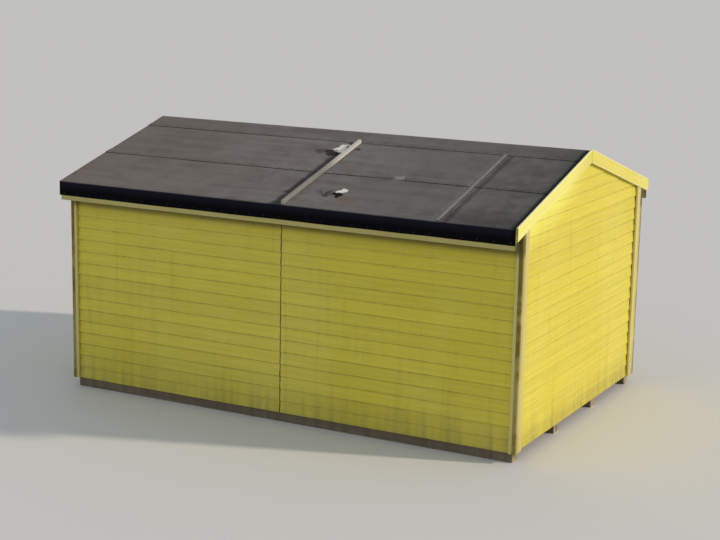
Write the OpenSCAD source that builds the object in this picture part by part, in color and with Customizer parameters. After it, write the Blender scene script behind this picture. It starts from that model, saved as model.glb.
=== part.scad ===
// Timber beach hut with a low felted apex roof, in millimetres.
// +Z is up. The doors face -Y, the plain back gable faces +Y, and the long sides face +X and -X.
// The origin is on the ground, at the centre of the plan.

/* [Building] */
// Width over the wall boards
hut_w = 3050; // [2600:10:3600]
// Length over the wall boards
hut_l = 4630; // [3600:10:5400]
// Height of the side wall plates above the ground, at their outer edge
plate_z = 2080; // [2000:10:2400]
// Slope of both roof halves, in degrees
roof_pitch = 15.5; // [12:0.5:25]

/* [Floor] */
// Width of a bearer
bearer_w = 100; // [75:5:150]
// Height of a bearer
bearer_h = 100; // [75:5:150]
// Number of bearers
bearer_count = 4; // [3:1:6]
// Width of a floor joist
joist_w = 50; // [38:1:75]
// Depth of a floor joist
joist_h = 75; // [60:5:125]
// Greatest distance between the centres of two joists
joist_pitch = 450; // [350:10:600]
// Thickness of the floor boards
floor_t = 20; // [15:1:30]

/* [Walls] */
// Thickness of the wall boards
board_t = 20; // [12:1:30]
// Side of the square studs and plates
stud = 50; // [38:1:75]
// Greatest distance between the centres of two studs
stud_pitch = 450; // [350:10:600]
// Height of the lowest wall board above the ground
board_z = 90; // [40:5:95]
// Gap between the boards of a side wall's two panels
panel_gap = 12; // [4:1:20]
// Gap between the frames of two panels that are bolted together
frame_gap = 2; // [1:0.5:4]

/* [Corner boards] */
// Width of a corner board on a gable
corner_w = 140; // [80:5:180]
// Width of a corner board on a side wall
corner_side_w = 65; // [45:5:140]
// Thickness of a corner board
corner_t = 22; // [12:1:30]

/* [Doorway] */
// Clear width between the door jambs
door_w = 1500; // [900:10:1700]
// Clear height above the floor
door_h = 1780; // [1650:10:1850]
// Thickness of the door jambs and head
jamb_t = 30; // [20:1:40]
// Thickness of the sill board
sill_t = 25; // [15:1:35]
// How far the sill runs out past the wall boards
sill_out = 30; // [10:5:60]
// Clearance round each door leaf
leaf_gap = 4; // [2:0.5:8]
// Thickness of the ledges and braces on a door's inner face
ledge_t = 22; // [15:1:30]
// Width of the ledges and braces
ledge_w = 100; // [70:5:120]
// Distance from a door's top or bottom edge to its outer ledges
ledge_in = 150; // [100:10:250]

/* [Door ironwork] */
// Length of a hinge's strap
strap_l = 320; // [200:10:420]
// Width of a hinge's strap at the knuckle
strap_w = 40; // [25:1:60]
// Thickness of the ironwork
iron_t = 4; // [3:0.5:6]
// Radius of a hinge's knuckle
knuckle_r = 8; // [6:0.5:12]
// Length of the hasp
hasp_l = 150; // [100:5:200]
// Width of the hasp
hasp_w = 36; // [25:1:50]

/* [Roof frame] */
// Width of the ridge beam
ridge_w = 50; // [38:1:75]
// Depth of the ridge beam below the roof boards
ridge_h = 100; // [80:5:125]
// Side of the square purlins
purlin = 50; // [38:1:75]
// Thickness of the middle truss
truss_t = 50; // [38:1:75]
// Depth of the truss rafters
truss_h = 75; // [60:5:100]
// Thickness of the truss's apex plates
gusset_t = 12; // [6:1:18]
// Width of the truss's apex plates
gusset_w = 640; // [400:20:800]

/* [Roof covering] */
// Thickness of the roof boards
deck_t = 18; // [12:1:25]
// How far the roof runs out past the side walls
eave_out = 172; // [80:2:250]
// How far the roof boards run out past the wall boards of a gable
verge_out = 12; // [0:2:60]
// Thickness of the roofing felt
felt_t = 3; // [2:0.5:5]
// Distance down the slope from the ridge to the lap between two felt strips
lap_down = 1020; // [800:10:1150]
// Width of that lap
lap_w = 80; // [50:5:150]
// Width of the strip of felt over the ridge
ridge_felt_w = 540; // [300:20:800]

/* [Trim] */
// Thickness of the fascia boards
fascia_t = 20; // [12:1:30]
// Depth of the fascia boards
fascia_h = 155; // [100:5:180]
// Height of the fascia left bare below the felt
fascia_bare = 40; // [10:5:60]
// Thickness of the barge boards
barge_t = 22; // [15:1:35]
// Depth of the barge boards
barge_h = 115; // [90:5:200]
// How far the back barge boards stand up past the felt
barge_up = 15; // [10:1:50]

/* [Roof battens] */
// Width of a batten
batten_w = 32; // [20:1:70]
// Thickness of the tall batten
tall_batten_t = 34; // [20:1:50]
// Thickness of the low batten
low_batten_t = 12; // [8:1:25]
// Distance from the back verge to the middle of the tall batten
tall_batten_in = 2240; // [1500:10:2600]
// Distance from the back verge to the middle of the low batten
low_batten_in = 740; // [400:10:1200]
// Distance that a batten stops short of the eave
batten_short = 12; // [5:1:60]

/* [Hidden] */

wall_yellow = [0.89, 0.80, 0.37];
trim_yellow = [0.85, 0.80, 0.35];
corner_cream = [0.84, 0.75, 0.47];
felt_grey = [0.38, 0.37, 0.36];
bare_timber = [0.66, 0.52, 0.36];
batten_white = [0.76, 0.74, 0.70];
iron_black = [0.12, 0.12, 0.13];

// A cut that has to pass right through a piece runs this far past both its faces
past = 1;

half_w = hut_w / 2;
half_l = hut_l / 2;
// Outer faces of the frames, behind the wall boards
frame_x = half_w - board_t;
frame_y = half_l - board_t;
// Inner faces of the frames
room_x = frame_x - stud;
room_y = frame_y - stud;
// Underside and top of the floor boards
floor_z = bearer_h + joist_h;
room_z = floor_z + floor_t;

slope = tan(roof_pitch);
// Outer faces of the fascia boards and of the felt over them
eave_x = half_w + eave_out;
tip_x = eave_x + felt_t;
// Ends of the roof boards and outer faces of the barge boards
deck_y = half_l + verge_out;
verge_y = deck_y + barge_t;
// Top edges of the barge boards above the roof boards' underside: the back ones stand up past the felt,
// and the front ones lie under it
back_barge_top = deck_t + felt_t + barge_up;
front_barge_top = deck_t;

// Half width and top of the cut in the front wall, round the door jambs and head
doorway_x = door_w / 2 + jamb_t;
head_z = room_z + door_h;
doorway_z = head_z + jamb_t;
// Underside, top and width of a door leaf
leaf_low = room_z + sill_t + leaf_gap;
leaf_high = head_z - leaf_gap;
leaf_w = door_w / 2 - 1.5 * leaf_gap;
// The knuckles stand over the gap between a leaf and its jamb
knuckle_x = (door_w - leaf_gap) / 2;

// Height of a layer that is measured square to the slope
function upright(t) = t / cos(roof_pitch);

// Underside of the roof boards at a distance x from the middle, and t above or below it, square to the slope
function roof_z(x, t = 0) = plate_z + (frame_x - abs(x)) * slope + upright(t);

// Distance from the middle of a point that lies s down the slope from the ridge
function down(s) = s * cos(roof_pitch);

// Where equal pieces of width w start, from a to b, so that their centres are no more than pitch apart
function starts(a, b, w, pitch) =
    let (bays = ceil((b - a - w) / pitch), step = (b - a - w) / bays)
    [for (i = [0 : bays]) a + i * step];

// Outline from x0 to x1 that stands on z0 and ends t above or below the underside of the roof boards
function under_roof(x0, x1, z0, t = 0) = concat(
    [[x0, z0], [x1, z0], [x1, roof_z(x1, t)]],
    x0 < 0 && x1 > 0 ? [[0, roof_z(0, t)]] : [],
    [[x0, roof_z(x0, t)]]
);

// Outline of a layer of the right roof slope from x0 to x1, between t0 and t1 above the boards' underside
function roof_layer(x0, x1, t0, t1) =
    [[x0, roof_z(x0, t0)], [x1, roof_z(x1, t0)], [x1, roof_z(x1, t1)], [x0, roof_z(x0, t1)]];

// An outline drawn in X and Z, run along Y from y0 to y1
module along_y(outline, y0, y1) {
    translate([0, y1, 0]) rotate([90, 0, 0]) linear_extrude(y1 - y0) polygon(outline);
}

module block(low, high) {
    translate(low) cube(high - low);
}

// The left side and the front are mirror images of the right side and the back
module on_left() { mirror([1, 0, 0]) children(); }
module on_front() { mirror([0, 1, 0]) children(); }

// Floor

module bearers() color(bare_timber) {
    span = 2 * frame_x - bearer_w;
    for (i = [0 : bearer_count - 1]) {
        x = -frame_x + i * span / (bearer_count - 1);
        block([x, -frame_y, 0], [x + bearer_w, frame_y, bearer_h]);
    }
}

module floor_joists() color(bare_timber) {
    for (y = starts(-frame_y, frame_y, joist_w, joist_pitch))
        block([-frame_x, y, bearer_h], [frame_x, y + joist_w, floor_z]);
}

module floor_boards() color(bare_timber) {
    block([-frame_x, -frame_y, floor_z], [frame_x, frame_y, room_z]);
}

// Wall frames

// One panel's frame in a side wall, from y0 to y1, with its top plate bevelled to the roof
module side_frame(y0, y1) {
    block([room_x, y0, room_z], [frame_x, y1, room_z + stud]);
    for (y = starts(y0, y1, stud, stud_pitch))
        block([room_x, y, room_z], [frame_x, y + stud, plate_z - stud]);
    along_y(under_roof(room_x, frame_x, plate_z - stud), y0, y1);
}

module right_wall_frame() color(bare_timber) {
    side_frame(-frame_y, -frame_gap / 2);
    side_frame(frame_gap / 2, frame_y);
}

module left_wall_frame() on_left() right_wall_frame();

// Studs of a gable frame from x0 to x1, standing on z0 and cut to the slope of the plates above them
module gable_studs(x0, x1, z0) {
    for (x = starts(x0, x1, stud, stud_pitch))
        along_y(under_roof(x, x + stud, z0, -stud / 2), room_y, frame_y);
}

// The two sloping plates along the top of a gable frame
module gable_plates() {
    top_edge = [[-room_x, roof_z(room_x)], [0, roof_z(0)], [room_x, roof_z(room_x)]];
    low_edge = [[room_x, roof_z(room_x, -stud)], [0, roof_z(0, -stud)], [-room_x, roof_z(room_x, -stud)]];
    along_y(concat(top_edge, low_edge), room_y, frame_y);
}

module back_wall_frame() color(bare_timber) {
    block([-room_x, room_y, room_z], [room_x, frame_y, room_z + stud]);
    gable_studs(-room_x, room_x, room_z);
    gable_plates();
}

module front_wall_frame() color(bare_timber) on_front() {
    for (side = [0, 1]) mirror([side, 0, 0]) {
        block([doorway_x, room_y, room_z], [room_x, frame_y, room_z + stud]);
        gable_studs(doorway_x, room_x, room_z);
    }
    block([-doorway_x - stud, room_y, doorway_z], [doorway_x + stud, frame_y, doorway_z + stud]);
    gable_studs(-doorway_x, doorway_x, doorway_z + stud / 2);
    gable_plates();
}

// Wall boards

module side_boards(y0, y1) {
    color(wall_yellow) along_y(under_roof(frame_x, half_w, board_z), y0, y1);
}

module right_wall_back_panel() { side_boards(panel_gap / 2, frame_y); }
module right_wall_front_panel() on_front() right_wall_back_panel();
module left_wall_back_panel() on_left() right_wall_back_panel();
module left_wall_front_panel() on_left() right_wall_front_panel();

module back_wall() {
    color(wall_yellow) along_y(under_roof(-half_w, half_w, board_z), frame_y, half_l);
}

module front_wall_right() on_front() {
    color(wall_yellow) along_y(under_roof(doorway_x, half_w, board_z), frame_y, half_l);
}

module front_wall_left() on_left() front_wall_right();

module front_wall_over_door() on_front() {
    color(wall_yellow) along_y(under_roof(-doorway_x, doorway_x, doorway_z), frame_y, half_l);
}

module front_wall_under_door() on_front() {
    color(wall_yellow) block([-doorway_x, frame_y, board_z], [doorway_x, half_l, room_z]);
}

// Corner boards, one nailed to each wall and joined at the corner, with their heads cut back round the
// barge board whose top edge is given
module corner_boards(barge_top) color(corner_cream) difference() {
    edge_y = half_l + corner_t;
    union() {
        along_y(under_roof(half_w, half_w + corner_t, board_z), edge_y - corner_side_w, edge_y);
        along_y(under_roof(half_w + corner_t - corner_w, half_w, board_z), half_l, edge_y);
    }
    along_y(roof_layer(0, eave_x, barge_top - barge_h, deck_t), deck_y, max(edge_y, verge_y) + past);
}

module back_right_corner_board() corner_boards(back_barge_top);
module front_right_corner_board() on_front() corner_boards(front_barge_top);
module back_left_corner_board() on_left() back_right_corner_board();
module front_left_corner_board() on_left() front_right_corner_board();

// Doorway

module door_frame() color(trim_yellow) on_front() {
    for (side = [0, 1]) mirror([side, 0, 0])
        block([door_w / 2, room_y, room_z], [doorway_x, half_l, doorway_z]);
    block([-door_w / 2, room_y, head_z], [door_w / 2, half_l, doorway_z]);
}

module door_sill() color(trim_yellow) on_front() {
    block([-door_w / 2, room_y, room_z], [door_w / 2, half_l + sill_out, room_z + sill_t]);
}

// A brace from the foot of the hinge side up to the meeting side, between two ledges
module brace(z0, z1) {
    inner_x = leaf_gap / 2;
    outer_x = inner_x + leaf_w;
    along_y([[outer_x, z0], [outer_x - ledge_w, z0], [inner_x, z1], [inner_x + ledge_w, z1]],
        frame_y - ledge_t, frame_y);
}

module right_door() color(wall_yellow) on_front() {
    inner_x = leaf_gap / 2;
    outer_x = inner_x + leaf_w;
    ledges = [leaf_low + ledge_in, (leaf_low + leaf_high - ledge_w) / 2, leaf_high - ledge_in - ledge_w];
    block([inner_x, frame_y, leaf_low], [outer_x, half_l, leaf_high]);
    for (z = ledges)
        block([inner_x, frame_y - ledge_t, z], [outer_x, frame_y, z + ledge_w]);
    brace(ledges[0] + ledge_w, ledges[1]);
    brace(ledges[1] + ledge_w, ledges[2]);
}

module left_door() on_left() right_door();

// A strap hinge: tapered strap on the leaf, knuckle over the gap, plate on the jamb and the wall boards
module strap_hinge(z) {
    tail_w = strap_w / 2;
    strap = [
        [knuckle_x, z - strap_w / 2], [knuckle_x, z + strap_w / 2],
        [knuckle_x - strap_l, z + tail_w / 2], [knuckle_x - strap_l, z - tail_w / 2]
    ];
    along_y(strap, half_l, half_l + iron_t);
    block([knuckle_x, half_l, z - strap_w], [doorway_x + strap_w / 2, half_l + iron_t, z + strap_w]);
    translate([knuckle_x, half_l + knuckle_r, z - strap_w])
        cylinder(h = 2 * strap_w, r = knuckle_r, $fn = 32);
}

module door_hinges() color(iron_black) on_front() {
    for (side = [0, 1]) mirror([side, 0, 0])
        for (z = [leaf_low + ledge_in + ledge_w / 2, (leaf_low + leaf_high) / 2,
                leaf_high - ledge_in - ledge_w / 2])
            strap_hinge(z);
}

// A hasp across the meeting edges, folded over its staple
module door_hasp() color(iron_black) on_front() {
    z = (leaf_low + leaf_high) / 2;
    staple_r = hasp_w / 3;
    block([-hasp_l / 2, half_l, z - hasp_w / 2], [hasp_l / 2, half_l + iron_t, z + hasp_w / 2]);
    translate([hasp_l / 4, half_l + iron_t, z])
        rotate([0, -90, 0]) rotate_extrude(angle = 180, $fn = 48)
            translate([staple_r, 0]) circle(r = iron_t / 2, $fn = 16);
}

// Roof frame

module ridge_beam() color(bare_timber) {
    along_y(under_roof(-ridge_w / 2, ridge_w / 2, roof_z(0) - ridge_h), -room_y, room_y);
}

// A square purlin that hangs from the roof boards half-way between the ridge and the wall plate
module purlin_right() {
    x = room_x / 2;
    translate([0, room_y, 0]) rotate([90, 0, 0]) linear_extrude(2 * room_y)
        translate([x, roof_z(x)]) rotate(-roof_pitch) translate([0, -purlin]) square(purlin);
}

module purlins() color(bare_timber) {
    purlin_right();
    on_left() purlin_right();
}

// Two rafters below the purlins, foot against the side frames, held by plates at the apex
module roof_truss() color(bare_timber) {
    low = -purlin - truss_h;
    plate_x = gusset_w / 2;
    rafters = [
        [-room_x, roof_z(room_x, low)], [0, roof_z(0, low)], [room_x, roof_z(room_x, low)],
        [room_x, roof_z(room_x, -purlin)], [0, roof_z(0, -purlin)], [-room_x, roof_z(room_x, -purlin)]
    ];
    plates = [
        [-plate_x, roof_z(plate_x, low)], [plate_x, roof_z(plate_x, low)],
        [plate_x, roof_z(plate_x, -purlin)], [0, roof_z(0, -purlin)], [-plate_x, roof_z(plate_x, -purlin)]
    ];
    difference() {
        union() {
            along_y(rafters, -truss_t / 2, truss_t / 2);
            along_y(plates, -truss_t / 2 - gusset_t, -truss_t / 2);
            along_y(plates, truss_t / 2, truss_t / 2 + gusset_t);
        }
        block([-ridge_w / 2, -truss_t / 2 - gusset_t - past, roof_z(0) - ridge_h],
            [ridge_w / 2, truss_t / 2 + gusset_t + past, roof_z(0)]);
    }
}

// Roof boards, in two panels on each slope

module roof_right_back_panel() {
    color(bare_timber) along_y(roof_layer(0, eave_x, 0, deck_t), frame_gap / 2, deck_y);
}

module roof_right_front_panel() on_front() roof_right_back_panel();
module roof_left_back_panel() on_left() roof_right_back_panel();
module roof_left_front_panel() on_left() roof_right_front_panel();

// Trim

module right_fascia() {
    low = roof_z(eave_x) - fascia_h;
    color(corner_cream) along_y(under_roof(eave_x - fascia_t, eave_x, low), -deck_y, deck_y);
}

module left_fascia() on_left() right_fascia();

// A barge board that ends at x
module barge_board(x, barge_top) {
    color(trim_yellow) along_y(roof_layer(0, x, barge_top - barge_h, barge_top), deck_y, verge_y);
}

module back_right_barge_board() barge_board(tip_x, back_barge_top);
module front_right_barge_board() on_front() barge_board(eave_x, front_barge_top);
module back_left_barge_board() on_left() back_right_barge_board();
module front_left_barge_board() on_left() front_right_barge_board();

// Roofing felt

// The lower strip lies on the boards and turns down over the fascia; the upper strip laps over it.
// Both cover the front barge boards and end against the back ones.
module right_roof_felt() color(felt_grey) {
    low = deck_t;
    high = deck_t + felt_t;
    lap = high + felt_t;
    lap_x = down(lap_down);
    edge_x = down(lap_down - lap_w);
    skirt_z = roof_z(eave_x) - fascia_h + fascia_bare;
    outline = [
        [0, roof_z(0, low)], [eave_x, roof_z(eave_x, low)], [eave_x, skirt_z], [tip_x, skirt_z],
        [tip_x, roof_z(tip_x, high)], [lap_x, roof_z(lap_x, high)], [lap_x, roof_z(lap_x, lap)],
        [edge_x, roof_z(edge_x, lap)], [edge_x - felt_t, roof_z(edge_x - felt_t, high)],
        [0, roof_z(0, high)]
    ];
    along_y(outline, -verge_y, deck_y);
}

module left_roof_felt() on_left() right_roof_felt();

// One strip folded over the ridge, on top of both slopes' felt
module ridge_felt() {
    low = deck_t + felt_t;
    high = low + felt_t;
    x = down(ridge_felt_w / 2);
    top_edge = [[-x, roof_z(x, high)], [0, roof_z(0, high)], [x, roof_z(x, high)]];
    low_edge = [[x, roof_z(x, low)], [0, roof_z(0, low)], [-x, roof_z(x, low)]];
    color(felt_grey) along_y(concat(top_edge, low_edge), -verge_y, deck_y);
}

// Battens nailed down the slope, from the ridge felt to the eave

module roof_batten(in, t) {
    low = deck_t + 2 * felt_t;
    y = verge_y - in;
    along_y(roof_layer(down(ridge_felt_w / 2), tip_x - batten_short, low, low + t),
        y - batten_w / 2, y + batten_w / 2);
}

module right_roof_battens() color(batten_white) {
    roof_batten(tall_batten_in, tall_batten_t);
    roof_batten(low_batten_in, low_batten_t);
}

module left_roof_battens() on_left() right_roof_battens();

bearers();
floor_joists();
floor_boards();
right_wall_frame();
left_wall_frame();
back_wall_frame();
front_wall_frame();
right_wall_front_panel();
right_wall_back_panel();
left_wall_front_panel();
left_wall_back_panel();
back_wall();
front_wall_left();
front_wall_right();
front_wall_over_door();
front_wall_under_door();
front_left_corner_board();
front_right_corner_board();
back_left_corner_board();
back_right_corner_board();
door_frame();
door_sill();
left_door();
right_door();
door_hinges();
door_hasp();
ridge_beam();
purlins();
roof_truss();
roof_right_front_panel();
roof_right_back_panel();
roof_left_front_panel();
roof_left_back_panel();
right_fascia();
left_fascia();
front_right_barge_board();
front_left_barge_board();
back_right_barge_board();
back_left_barge_board();
right_roof_felt();
left_roof_felt();
ridge_felt();
right_roof_battens();
left_roof_battens();
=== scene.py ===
"""Looks of a yellow beach hut: lapped wall boards, a felted apex roof, painted trim and plain double doors.

Lengths are in metres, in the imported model's frame: +Z up, the doors face -Y, the plain back gable +Y.
Pieces of the left side and of the front are drawn as their right and back twins and mirrored, with
their own random draws.
"""

import logging
import math
import random
from dataclasses import dataclass, field
from enum import Enum
from functools import reduce
from typing import Callable, NamedTuple, Optional, Sequence

import bmesh
import bpy
from bpy.types import Material, Node, NodeSocket, NodeTree
from mathutils import Matrix, Vector, noise


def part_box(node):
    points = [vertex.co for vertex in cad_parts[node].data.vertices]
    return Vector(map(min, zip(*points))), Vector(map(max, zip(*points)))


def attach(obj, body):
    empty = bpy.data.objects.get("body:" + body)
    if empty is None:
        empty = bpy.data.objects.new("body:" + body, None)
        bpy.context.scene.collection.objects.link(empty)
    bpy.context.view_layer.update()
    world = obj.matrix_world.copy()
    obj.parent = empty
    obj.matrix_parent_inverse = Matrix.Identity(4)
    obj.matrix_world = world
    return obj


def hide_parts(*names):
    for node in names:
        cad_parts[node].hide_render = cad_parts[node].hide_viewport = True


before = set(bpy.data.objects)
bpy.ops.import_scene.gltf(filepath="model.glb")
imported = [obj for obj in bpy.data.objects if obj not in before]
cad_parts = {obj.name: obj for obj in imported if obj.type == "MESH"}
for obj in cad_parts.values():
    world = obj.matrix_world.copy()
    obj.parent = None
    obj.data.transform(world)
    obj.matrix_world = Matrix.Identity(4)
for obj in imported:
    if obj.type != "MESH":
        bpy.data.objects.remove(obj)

LOG = logging.getLogger("beach_hut")
BODY = "root"
MILLIMETRE = 0.001
TINY = 1e-6
RIDGE_REACH = 0.27
GRAIN_SPAN = 40.0
FEWEST_CORNERS = 3
MIX_SHARE = 0
MIX_A = 6
MIX_B = 7
MIX_RESULT = 2
ACROSS = Vector((1, 0, 0))
ALONG = Vector((0, 1, 0))
UP = Vector((0, 0, 1))

Colour = tuple[float, float, float]
Pair = tuple[float, float]
Line = Callable[[float], float]

# Bitumen black, also used for painted shadow on the felt.
BITUMEN_AND_SHADOW: Colour = (0.003, 0.003, 0.0042)


class Side(Enum):
    """Which long side of the hut a piece belongs to."""

    RIGHT = 1
    LEFT = -1


class End(Enum):
    """Which gable of the hut a piece belongs to."""

    BACK = 1
    FRONT = -1


class Facing(Enum):
    """Which way a boarded wall faces, before it is mirrored to its own side and end."""

    SIDEWAYS = "x"
    ENDWAYS = "y"


class Slot(Enum):
    """Names of the material slots."""

    WALL = "wall_paint"
    TRIM = "trim_paint"
    CORNER = "corner_paint"
    FELT = "roof_felt"
    BATTEN = "batten_paint"
    TIMBER = "bare_timber"
    IRON = "black_iron"


# Frame


def quadrant_box(node: str, side: Side, end: End) -> tuple[Vector, Vector]:
    """Give a node's box as if it stood on the right side and at the back.

    Args:
        node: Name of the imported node.
        side: Side that the node is on.
        end: End that the node is at.

    Returns:
        The lowest and the highest corner.
    """
    low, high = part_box(node)
    xs = sorted((low.x * side.value, high.x * side.value))
    ys = sorted((low.y * end.value, high.y * end.value))
    return Vector((xs[0], ys[0], low.z)), Vector((xs[1], ys[1], high.z))


@dataclass(frozen=True)
class HutFrame:
    """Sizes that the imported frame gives, for the right side and the back."""

    half_w: float
    half_l: float
    frame_x: float
    frame_y: float
    board_z: float
    plate_z: float
    apex_z: float
    room_z: float
    deck_t: float
    felt_t: float
    eave_x: float
    tip_x: float
    deck_y: float
    verge_y: float

    @classmethod
    def read(cls) -> "HutFrame":
        """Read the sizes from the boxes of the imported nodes.

        Returns:
            The sizes.
        """
        gable_low, gable_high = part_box("back_wall")
        panel_low, panel_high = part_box("right_wall_back_panel")
        deck_low, deck_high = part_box("roof_right_back_panel")
        felt_low, felt_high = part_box("right_roof_felt")
        slope = (gable_high.z - panel_high.z) / panel_low.x
        square = 1 / math.hypot(1, slope)
        return cls(
            half_w=gable_high.x,
            half_l=gable_high.y,
            frame_x=panel_low.x,
            frame_y=gable_low.y,
            board_z=gable_low.z,
            plate_z=panel_high.z,
            apex_z=gable_high.z,
            room_z=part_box("floor_boards")[1].z,
            deck_t=(deck_high.z - gable_high.z) * square,
            felt_t=(felt_high.z - deck_high.z) * square,
            eave_x=deck_high.x,
            tip_x=felt_high.x,
            deck_y=deck_high.y,
            verge_y=-felt_low.y,
        )

    @property
    def slope(self) -> float:
        """Fall of the roof for each metre away from the ridge."""
        return (self.apex_z - self.plate_z) / self.frame_x

    @property
    def square(self) -> float:
        """Cosine of the roof's pitch."""
        return 1 / math.hypot(1, self.slope)

    def under(self, x: float, t: float = 0.0) -> float:
        """Height of the roof boards' underside, x from the middle, or of what lies t above it."""
        return self.apex_z - abs(x) * self.slope + t / self.square

    def reach(self, z: float, limit: float) -> float:
        """Distance from the middle at which the roof boards come down to z, or a limit if that is less."""
        return min(limit, (self.apex_z - z) / self.slope)

    def on_felt(self, y: float, s: float) -> tuple[float, float, float]:
        """Give the point on the right slope's felt, y along the hut and s down the slope."""
        x = s * self.square
        return x, y, self.under(x, self.deck_t + self.felt_t)


# Meshes


class Knot(NamedTuple):
    """One point of a ring."""

    place: Vector
    along: float
    across: float
    wear: float = 0.0
    shelter: float = 0.0
    soak: float = 0.0


@dataclass
class Draft:
    """A piece while its mesh is being drawn."""

    name: str
    side: Side = Side.RIGHT
    end: End = End.BACK
    points: list[Vector] = field(default_factory=list)
    faces: list[tuple[int, ...]] = field(default_factory=list)
    grain: list[tuple[float, float, float]] = field(default_factory=list)
    wear: list[float] = field(default_factory=list)
    shelter: list[float] = field(default_factory=list)
    soak: list[float] = field(default_factory=list)
    tone: list[float] = field(default_factory=list)

    def __post_init__(self) -> None:
        """Seed the piece's own random draws with its name."""
        self.rng = random.Random(self.name)

    def loft(self, rings: Sequence[Sequence[Knot]], tone: float) -> None:
        """Join rings of equally many knots into one closed skin, with a flat cap at each end.

        Args:
            rings: Rings in order along the skin.
            tone: Shade of this skin against its neighbours, from -1 to 1.
        """
        first = len(self.points)
        size = len(rings[0])
        self._add_knots(rings, tone)
        for row in range(len(rings) - 1):
            for i in range(size):
                a = first + row * size + i
                b = first + row * size + (i + 1) % size
                self.faces.append((a, b, b + size, a + size))
        last = first + (len(rings) - 1) * size
        self.faces.append(tuple(range(first, first + size)))
        self.faces.append(tuple(range(last, last + size)))

    def cloak(self, top: Sequence[Sequence[Knot]], base: Sequence[Sequence[Knot]], tone: float) -> None:
        """Draw a thin sheet as two grids joined round their edges.

        Args:
            top: Rows of knots on the outer face.
            base: As many rows and knots on the inner face.
            tone: Shade of this sheet against its neighbours, from -1 to 1.
        """
        rows, size = len(top), len(top[0])
        first = len(self.points)
        self._add_knots(top, tone)
        under = len(self.points)
        self._add_knots(base, tone)
        for r in range(rows - 1):
            for i in range(size - 1):
                a = r * size + i
                quad = (a, a + 1, a + size + 1, a + size)
                self.faces.append(tuple(first + k for k in quad))
                self.faces.append(tuple(under + k for k in reversed(quad)))
        rim = [r * size for r in range(rows)]
        rim += [(rows - 1) * size + i for i in range(1, size)]
        rim += [r * size + size - 1 for r in range(rows - 2, -1, -1)]
        rim += list(range(size - 2, 0, -1))
        for a, b in zip(rim, rim[1:] + rim[:1]):
            self.faces.append((first + a, first + b, under + b, under + a))

    def _add_knots(self, rings: Sequence[Sequence[Knot]], tone: float) -> None:
        """Append knots, mirrored to the piece's side and end, with one grain seed for them all.

        Args:
            rings: Rings or rows of knots.
            tone: Shade of their skin, from -1 to 1.
        """
        seed = self.rng.uniform(0, GRAIN_SPAN)
        for ring in rings:
            for knot in ring:
                x, y, z = knot.place
                self.points.append(Vector((x * self.side.value, y * self.end.value, z)))
                self.grain.append((knot.along + seed, knot.across, seed))
                self.wear.append(knot.wear)
                self.shelter.append(knot.shelter)
                self.soak.append(knot.soak)
                self.tone.append(tone)

    def build(self, material: Material, nodes: Sequence[str] = (),
              crease: float = 35.0) -> None:
        """Make the object, let it ride on the hut's body and stand for its nodes.

        Args:
            material: Material of the whole piece.
            nodes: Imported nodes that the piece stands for.
            crease: Angle in degrees above which an edge stays sharp.
        """
        mesh = bpy.data.meshes.new(self.name)
        mesh.from_pydata(self.points, [], self.faces)
        work = bmesh.new()
        work.from_mesh(mesh)
        bmesh.ops.recalc_face_normals(work, faces=work.faces)
        work.to_mesh(mesh)
        work.free()
        grain = mesh.attributes.new("grain", "FLOAT_VECTOR", "POINT")
        grain.data.foreach_set("vector", [value for triple in self.grain for value in triple])
        for label, values in (("wear", self.wear), ("shelter", self.shelter), ("soak", self.soak),
                              ("tone", self.tone)):
            layer = mesh.attributes.new(label, "FLOAT", "POINT")
            layer.data.foreach_set("value", values)
        mesh.polygons.foreach_set("use_smooth", [True] * len(mesh.polygons))
        mesh.set_sharp_from_angle(angle=math.radians(crease))
        mesh.materials.append(material)
        piece = bpy.data.objects.new(self.name, mesh)
        bpy.context.scene.collection.objects.link(piece)
        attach(piece, BODY)
        if nodes:
            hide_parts(*nodes)
        LOG.info("%s: %d faces", self.name, len(mesh.polygons))


class Corner(NamedTuple):
    """A point of a section: across and through the timber, and how its edge wears and darkens."""

    u: float
    v: float
    wear: float = 0.0
    shelter: float = 0.0
    soak: float = 0.0


Section = Sequence[Corner]
Placer = Callable[[float, float], Vector]
Plan = Callable[[float, float], Pair]


def squared_section(width: float, thickness: float, arris: float = 0.002, margin: float = 0.004) -> Section:
    """Outline of a sawn plank with its edges taken off.

    Args:
        width: Size across.
        thickness: Size through.
        arris: Size of the bevel along each edge.
        margin: Distance from the bevel over which its wear fades.

    Returns:
        The outline's points in order.
    """
    most = 0.4
    near = min(arris + margin, width * most, thickness * most)
    w, t = width, thickness
    return [
        Corner(0, near), Corner(0, arris, 1), Corner(arris, 0, 1), Corner(near, 0),
        Corner(w - near, 0), Corner(w - arris, 0, 1), Corner(w, arris, 1), Corner(w, near),
        Corner(w, t - near), Corner(w, t - arris, 1), Corner(w - arris, t, 1), Corner(w - near, t),
        Corner(near, t), Corner(arris, t, 1), Corner(0, t - arris, 1), Corner(0, t - near),
    ]


def darkened_edge(section: Section, begin: float, soak: float) -> Section:
    """Darken the far edge of a section.

    Args:
        section: Outline of a sawn plank.
        begin: Smallest u that the darkening reaches.
        soak: How dark the edge itself is, from 0 to 1.

    Returns:
        The outline with two points more, where the darkening begins.
    """
    width = max(corner.u for corner in section)
    thickness = max(corner.v for corner in section)
    darkened = [corner._replace(soak=soak * max(0.0, (corner.u - begin) / (width - begin))) for corner in section]
    face = next(i for i, corner in enumerate(darkened) if corner.u > begin)
    back = next(i for i, corner in enumerate(darkened) if i > face and corner.u < begin)
    return [*darkened[:face], Corner(begin, 0.0), *darkened[face:back], Corner(begin, thickness), *darkened[back:]]


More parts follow.
